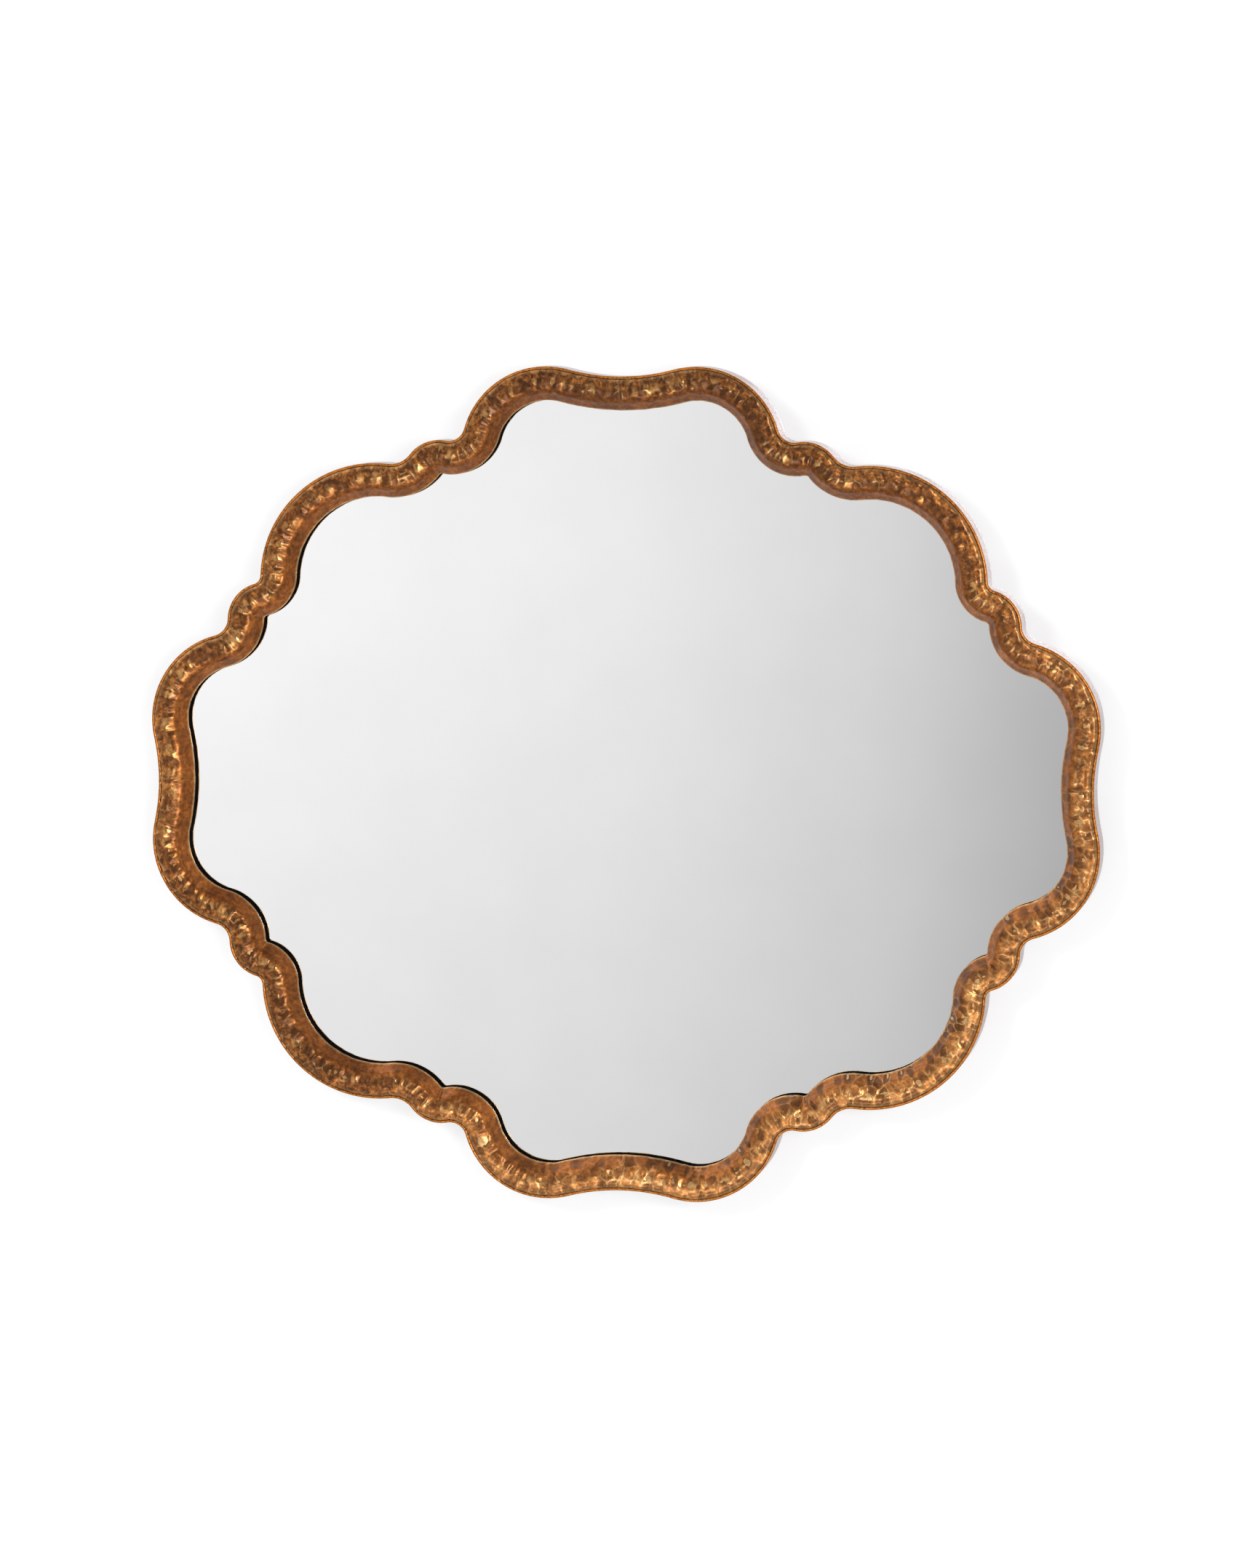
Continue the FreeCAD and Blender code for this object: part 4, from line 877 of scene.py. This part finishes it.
class MIRROR_PG_cladding(PropertyGroup):
    """How the copper was beaten."""

    grid: FloatProperty(name="Grid", description="Spacing of the mesh along the band",
                        default=0.75 * MM, unit="LENGTH")
    mark_width: FloatProperty(name="Mark width", description="Width of a hammer mark along the rim",
                              default=7.5 * MM, unit="LENGTH")
    mark_length: FloatProperty(name="Mark length", description="Length of a hammer mark across the rim",
                               default=11.0 * MM, unit="LENGTH")
    round_mark: FloatProperty(name="Round mark", description="Width of a mark on the inner slope",
                              default=8.0 * MM, unit="LENGTH")
    mark_depth: FloatProperty(name="Mark depth", description="Depth of the deepest hammer marks",
                              default=0.85 * MM, unit="LENGTH")
    scallop: FloatProperty(name="Scallop", description="How far the bead is pressed in at a crease",
                           default=0.45 * MM, unit="LENGTH")


def tone(name, code, description):
    """A colour that a user may change, written as sRGB hex."""
    return FloatVectorProperty(name=name, description=description, default=linear(code), subtype="COLOR",
                               size=3, min=0.0, max=1.0)


class MIRROR_PG_tones(PropertyGroup):
    """Colours of the finishes."""

    dark_patina: tone("Dark patina", "#5A351A", "Darkest specks of the brown patina")
    patina: tone("Patina", "#8C5226", "Brown patina over most of the sheet")
    light_patina: tone("Light patina", "#BA7838", "Thin patina, where the copper shows through")
    olive: tone("Olive", "#C0844A", "Patina of the rubbed quarters, golden olive")
    slope: tone("Slope", "#AA6022", "Orange brown of the inner slope")
    # Also used for the painted shade on the crown between the burnished patches
    hollows: tone("Hollows", "#5E381B", "Bottom of the hammer's marks")
    stains: tone("Stains", "#6E4630", "Purplish stains from the darkening bath")
    # Also the painted light on the rim beside the bead, at its creases and on the pleats
    ridges: tone("Ridges", "#DDB478", "Bare copper on the rubbed ridges, pale gold")
    # Also a painted highlight on the crown's burnished patches and on the ribs
    polished: tone("Polished spots", "#E0A866", "Copper that the hammer's face burnished on the crown")
    tarnish: tone("Tarnish", "#B3A4A7", "Lilac grey of the strip's side")
    strip_brown: tone("Strip brown", "#8A5B36", "Brown clouds on the strip's side")
    silver: tone("Silver", "#F4F4F4", "The mirror's silvering")
    silver_haze: tone("Silver haze", "#F7F7F7", "The silvering's lighter clouds")
    black: tone("Black", "#0B0A0A", "Matt black paint on the core")
    black_grain: tone("Black grain", "#161414", "Lighter grain of the black paint")
    primer: tone("Primer", "#2C2A28", "Black primer brushed on the back of the core")
    primer_dark: tone("Primer dark", "#1D1C1B", "Thicker strokes of the primer")
    board: tone("Board", "#6E4A2B", "Hardboard behind the foam")
    board_dark: tone("Board dark", "#573820", "Darker fibres of the hardboard")
    board_light: tone("Board light", "#80603F", "Lighter fibres of the hardboard")
    foam: tone("Foam", "#F0F0EE", "Foam sheet")
    foam_cells: tone("Foam cells", "#DEDEDC", "Cells of the foam sheet")
    cork: tone("Cork", "#B98A5A", "Cork shims")
    cork_dark: tone("Cork dark", "#5A3B22", "Dark grains in the cork")
    zinc: tone("Zinc", "#C6C5BC", "Zinc plating")
    zinc_dark: tone("Zinc dark", "#A6A69F", "Darker crystals of the zinc")
    zinc_yellow: tone("Zinc yellow", "#D6CFB4", "Yellowish sheen of the plating")
    nail: tone("Nail", "#8A5A3A", "Coppered nails")
    nail_dark: tone("Nail dark", "#4A2E1E", "Darkened spots on the nails")
    rubber: tone("Rubber", "#191919", "Bumpers")
    rubber_dark: tone("Rubber dark", "#0D0D0D", "Fine pits of the moulded rubber")


class MIRROR_PG_studio(PropertyGroup):
    """Camera, lamps and backdrop."""

    azimuth: FloatProperty(name="Azimuth", description="Camera's turn to the right of the front",
                           default=math.radians(9.5), subtype="ANGLE")
    elevation: FloatProperty(name="Elevation", description="Camera's height angle",
                             default=math.radians(5.0), subtype="ANGLE")
    distance: FloatProperty(name="Distance", description="Camera to the middle of the mirror",
                            default=5.0, unit="LENGTH")
    key_power: FloatProperty(name="Key lamp", description="Power of the soft lamp high at the left",
                             default=44.0, unit="POWER")
    front_power: FloatProperty(name="Front lamp", description="Power of the broad lamp beside the camera",
                               default=36.0, unit="POWER")
    low_power: FloatProperty(name="Low lamp", description="Power of the soft lamp near the floor",
                             default=5.5, unit="POWER")
    back_power: FloatProperty(name="Back lamp", description="Power of the lamp behind the wall",
                              default=4.5, unit="POWER")
    wall: tone("Wall", "#959595", "Paint of the wall behind the mirror")
    wall_light: FloatProperty(name="Wall light", description="The wall's own light, which makes it white",
                              default=0.64)
    floor: tone("Floor", "#D2D2D2", "Paint of the floor")


class MIRROR_OT_face_sheets(Operator):
    """Beats the four hammered sheets over the front of the band"""

    bl_idname = "mirror.face_sheets"
    bl_label = "Hammered face sheets"

    def execute(self, context):
        sizes = context.scene.mirror_cladding
        finish = make_hammered_copper(context.scene.mirror_tones)
        for corner in CORNERS:
            make_face_sheet(corner, sizes, finish)
        return {"FINISHED"}


class MIRROR_OT_edge_strips(Operator):
    """Bends the four smooth strips round the outer edge"""

    bl_idname = "mirror.edge_strips"
    bl_label = "Rolled edge strips"

    def execute(self, context):
        sizes = context.scene.mirror_cladding
        finish = make_smooth_copper(context.scene.mirror_tones)
        for corner in CORNERS:
            make_edge_strip(corner, sizes, finish)
        return {"FINISHED"}


class MIRROR_OT_core(Operator):
    """Paints the fibreboard core black"""

    bl_idname = "mirror.core"
    bl_label = "Painted core"

    def execute(self, context):
        tones = context.scene.mirror_tones
        # Matt paint over fibreboard: no gloss, so the sight wall reads as a black line beside the glass
        black = make_grained("black_painted_fibreboard", ((0.35, tones.black), (0.65, tones.black_grain)),
                             grain_mm=1.6, rough=(0.6, 0.8), specular=0.0)
        dress(black, *["front_core_" + corner for corner in CORNERS])
        # Primer brushed on thinly: a dark grey with thicker strokes and a faint sheen
        back = make_grained("black_brushed_primer", ((0.38, tones.primer_dark), (0.6, tones.primer)),
                            grain_mm=1.6, rough=(0.5, 0.7), specular=0.4)
        dress(back, *["back_core_" + side for side in SIDES])
        return {"FINISHED"}


class MIRROR_OT_glass(Operator):
    """Silvers the glass"""

    bl_idname = "mirror.glass"
    bl_label = "Silvered glass"

    def execute(self, context):
        dress(make_silvered_glass(context.scene.mirror_tones), "mirror_glass")
        return {"FINISHED"}


class MIRROR_OT_backing(Operator):
    """Finishes the board, foam and cork behind the glass"""

    bl_idname = "mirror.backing"
    bl_label = "Backing"

    def execute(self, context):
        tones = context.scene.mirror_tones
        # Pressed wood fibre: a warm brown, smooth, with darker and lighter fibres
        board = make_grained("brown_hardboard",
                             ((0.3, tones.board_dark), (0.5, tones.board), (0.7, tones.board_light)),
                             grain_mm=1.4, rough=(0.55, 0.8), bump_mm=0.15)
        # Closed-cell foam: white and matt, with fine cells
        foam = make_grained("white_foam", ((0.3, tones.foam_cells), (0.7, tones.foam)),
                            grain_mm=0.9, rough=(0.7, 0.85), bump_mm=0.1)
        # Pressed cork: light brown and matt, with dark grains
        cork = make_grained("pressed_cork", ((0.34, tones.cork_dark), (0.5, tones.cork)),
                            grain_mm=1.8, rough=(0.7, 0.9), bump_mm=0.15)
        dress(board, "backing_board")
        dress(foam, "foam_sheet")
        dress(cork, "glass_shims")
        return {"FINISHED"}


class MIRROR_OT_hardware(Operator):
    """Finishes straps, rings, screws, points, nails and bumpers"""

    bl_idname = "mirror.hardware"
    bl_label = "Hardware"

    def execute(self, context):
        tones = context.scene.mirror_tones
        # Zinc plating: a pale satin metal whose crystals are darker grey and slightly yellow
        zinc = make_grained("zinc_plated_steel",
                            ((0.3, tones.zinc_dark), (0.55, tones.zinc), (0.75, tones.zinc_yellow)),
                            grain_mm=3.0, rough=(0.26, 0.42), metallic=1.0, bump_mm=0.02)
        # Coppered steel: brown metal with darkened spots
        nail = make_grained("coppered_nail_steel", ((0.35, tones.nail_dark), (0.65, tones.nail)),
                            grain_mm=0.8, rough=(0.35, 0.5), metallic=1.0, bump_mm=0.02)
        # Moulded rubber: nearly black and dull, with fine pits
        rubber = make_grained("moulded_black_rubber", ((0.3, tones.rubber_dark), (0.7, tones.rubber)),
                              grain_mm=0.7, rough=(0.6, 0.78), bump_mm=0.04)
        for name in HANGERS:
            dress(zinc, "hanger_strap_" + name, "hanger_ring_" + name, "hanger_screws_" + name)
        dress(zinc, "glazing_points")
        dress(nail, "strip_nails")
        dress(rubber, *["wall_bumper_" + corner for corner in CORNERS])
        return {"FINISHED"}


def plane(name, corners, finish):
    """A flat stage piece through four corners."""
    bm = bmesh.new()
    bm.faces.new([bm.verts.new(corner) for corner in corners])
    mesh = bpy.data.meshes.new(name)
    bm.to_mesh(mesh)
    bm.free()
    piece = bpy.data.objects.new(name, mesh)
    mesh.materials.append(finish)
    bpy.context.scene.collection.objects.link(piece)
    piece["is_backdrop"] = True
    return piece


def make_wall_paint(studio):
    """Matt paint with a light of its own, which rays from the camera and reflections see as white.

    From behind it lets the view through.
    """
    material, tree, shader = new_material("matt_wall_paint")
    shader.inputs["Base Color"].default_value = (*studio.wall, 1.0)
    shader.inputs["Roughness"].default_value = 0.9
    shader.inputs["Specular IOR Level"].default_value = 0.0
    path = add_node(tree, "ShaderNodeLightPath").outputs
    seen = path["Is Camera Ray"]
    for ray in ("Is Glossy Ray", "Is Transmission Ray"):
        seen = add_node(tree, "ShaderNodeMath", {0: seen, 1: path[ray]}, operation="ADD",
                        use_clamp=True).outputs[0]
    strength = add_node(tree, "ShaderNodeMath", {0: seen, 1: studio.wall_light},
                        operation="MULTIPLY").outputs[0]
    shader.inputs["Emission Color"].default_value = (1, 1, 1, 1)
    tree.links.new(strength, shader.inputs["Emission Strength"])
    clear = add_node(tree, "ShaderNodeBsdfTransparent").outputs[0]
    behind = add_node(tree, "ShaderNodeNewGeometry").outputs["Backfacing"]
    mixed = add_node(tree, "ShaderNodeMixShader", {0: behind, 1: shader.outputs[0], 2: clear}).outputs[0]
    tree.links.new(mixed, tree.nodes["Material Output"].inputs["Surface"])
    return material


def make_floor_paint(studio):
    """Pale matt paint."""
    material, _, shader = new_material("pale_floor_paint")
    shader.inputs["Base Color"].default_value = (*studio.floor, 1.0)
    shader.inputs["Roughness"].default_value = 0.9
    return material


def make_room(scene):
    """The room that the mirror shows: pale, bright at the left, darker to the front and right."""
    world = bpy.data.worlds.new("studio_room")
    scene.world = world
    world.use_nodes = True
    tree = world.node_tree
    background = tree.nodes["Background"]
    way = add_node(tree, "ShaderNodeTexCoord").outputs["Generated"]
    axes = add_node(tree, "ShaderNodeSeparateXYZ", {"Vector": way}).outputs
    ramp = add_node(tree, "ShaderNodeMapRange", {"Value": axes["X"], "From Min": -1.0, "From Max": 1.0})
    greys = ((0.0, "#D8D8D8"), (0.3, "#FFFFFF"), (0.385, "#FDFDFD"), (0.418, "#EEEEEE"), (0.44, "#D8D8D8"),
             (0.454, "#B8B8B8"), (0.48, "#A0A0A0"), (0.6, "#9C9C9C"), (0.8, "#D0D0D0"), (1.0, "#E0E0E0"))
    across = add_node(tree, "ShaderNodeValToRGB", {"Fac": ramp.outputs[0]},
                      [(place, linear(code)) for place, code in greys]).outputs[0]

    # Brightness by height: the step at the level of the mirror, the pale ceiling and the darker floor
    level = 1.0
    steps = ((-0.16, -0.05, 0.84, 1.05), (0.1, 0.7, 1.0, 1.35), (-0.6, -0.2, 0.5, 1.0))
    for low, high, dark, light in steps:
        share = add_node(tree, "ShaderNodeMapRange", {"Value": axes["Z"], "From Min": low, "From Max": high,
                                                      "To Min": dark, "To Max": light}).outputs[0]
        level = add_node(tree, "ShaderNodeMath", {0: level, 1: share}, operation="MULTIPLY").outputs[0]
    tree.links.new(across, background.inputs["Color"])
    tree.links.new(level, background.inputs["Strength"])


def add_lamp(name, target, power, place, size, mirrored=True, spread=180):
    """A soft lamp, so many metres wide and high, that points at a spot and that metal mirrors or not."""
    light = bpy.data.lights.new(name, "AREA")
    light.shape = "ELLIPSE"
    light.size, light.size_y = size
    light.energy = power
    light.spread = math.radians(spread)
    lamp = bpy.data.objects.new(name, light)
    lamp.location = place
    lamp.rotation_euler = (Vector(target) - Vector(place)).to_track_quat("-Z", "Y").to_euler()
    lamp.visible_glossy = mirrored
    lamp.visible_camera = False
    bpy.context.scene.collection.objects.link(lamp)


class MIRROR_OT_stage(Operator):
    """Sets up wall, floor, lamps, room and camera"""

    bl_idname = "mirror.stage"
    bl_label = "Stage"

    def execute(self, context):
        scene = context.scene
        studio = scene.mirror_studio
        low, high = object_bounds()
        centre = (Vector(low) + Vector(high)) / 2

        left, right = [Vector((side * STAGE_REACH, WALL_GAP, FLOOR_LEVEL)) for side in (-1, 1)]
        up = Vector((0, 0, WALL_TOP - FLOOR_LEVEL))
        out = Vector((0, -STAGE_REACH - WALL_GAP, 0))
        wall = plane("stage_wall", (left, right, right + up, left + up), make_wall_paint(studio))
        # The wall lets the back lamp through, which only views from behind need
        wall.visible_shadow = False
        plane("stage_floor", (left + out, right + out, right, left), make_floor_paint(studio))
        make_room(scene)
        add_lamp("key_lamp", centre, studio.key_power, place=(-1.5, -3.0, 1.2), size=(0.8, 0.8),
                 mirrored=False)
        add_lamp("front_lamp", centre, studio.front_power, place=(1.35, -3.0, 0.35), size=(1.3, 0.6))
        add_lamp("low_lamp", centre, studio.low_power, place=(0.2, -1.6, -0.73), size=(1.4, 0.25))
        add_lamp("back_lamp", centre, studio.back_power, place=(0.35, 1.2, 0.3), size=(0.5, 0.5), spread=80)

        back = Vector((math.sin(studio.azimuth) * math.cos(studio.elevation),
                       -math.cos(studio.azimuth) * math.cos(studio.elevation),
                       math.sin(studio.elevation)))
        camera = bpy.data.cameras.new("photo_camera")
        camera.sensor_width = 36.0
        camera.lens = 139.6
        # The photo is cropped a little off the middle
        camera.shift_x = 0.0023
        eye = bpy.data.objects.new("photo_camera", camera)
        eye.location = centre + back * studio.distance
        eye.rotation_euler = (-back).to_track_quat("-Z", "Y").to_euler()
        scene.collection.objects.link(eye)
        scene.camera = eye
        scene.view_settings.view_transform = "Standard"
        return {"FINISHED"}


OPERATORS = (MIRROR_OT_core, MIRROR_OT_glass, MIRROR_OT_backing, MIRROR_OT_face_sheets,
             MIRROR_OT_edge_strips, MIRROR_OT_hardware, MIRROR_OT_stage)


class MIRROR_PT_panel(Panel):
    """Lists the steps that dress the mirror"""

    bl_idname = "MIRROR_PT_panel"
    bl_label = "Hammered mirror"
    bl_space_type = "VIEW_3D"
    bl_region_type = "UI"
    bl_category = "Mirror"

    def draw(self, context):
        for operator in OPERATORS:
            self.layout.operator(operator.bl_idname)
        scene = context.scene
        for group in (scene.mirror_cladding, scene.mirror_tones, scene.mirror_studio):
            box = self.layout.box()
            for name in group.__annotations__:
                box.prop(group, name)


CLASSES = (MIRROR_PG_cladding, MIRROR_PG_tones, MIRROR_PG_studio) + OPERATORS + (MIRROR_PT_panel,)


def register():
    for item in CLASSES:
        bpy.utils.register_class(item)
    bpy.types.Scene.mirror_cladding = PointerProperty(type=MIRROR_PG_cladding)
    bpy.types.Scene.mirror_tones = PointerProperty(type=MIRROR_PG_tones)
    bpy.types.Scene.mirror_studio = PointerProperty(type=MIRROR_PG_studio)


def unregister():
    del bpy.types.Scene.mirror_studio
    del bpy.types.Scene.mirror_tones
    del bpy.types.Scene.mirror_cladding
    for item in reversed(CLASSES):
        bpy.utils.unregister_class(item)


def main():
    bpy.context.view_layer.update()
    register()
    for operator in OPERATORS:
        group, name = operator.bl_idname.split(".")
        getattr(getattr(bpy.ops, group), name)()


if __name__ == "__main__":
    main()
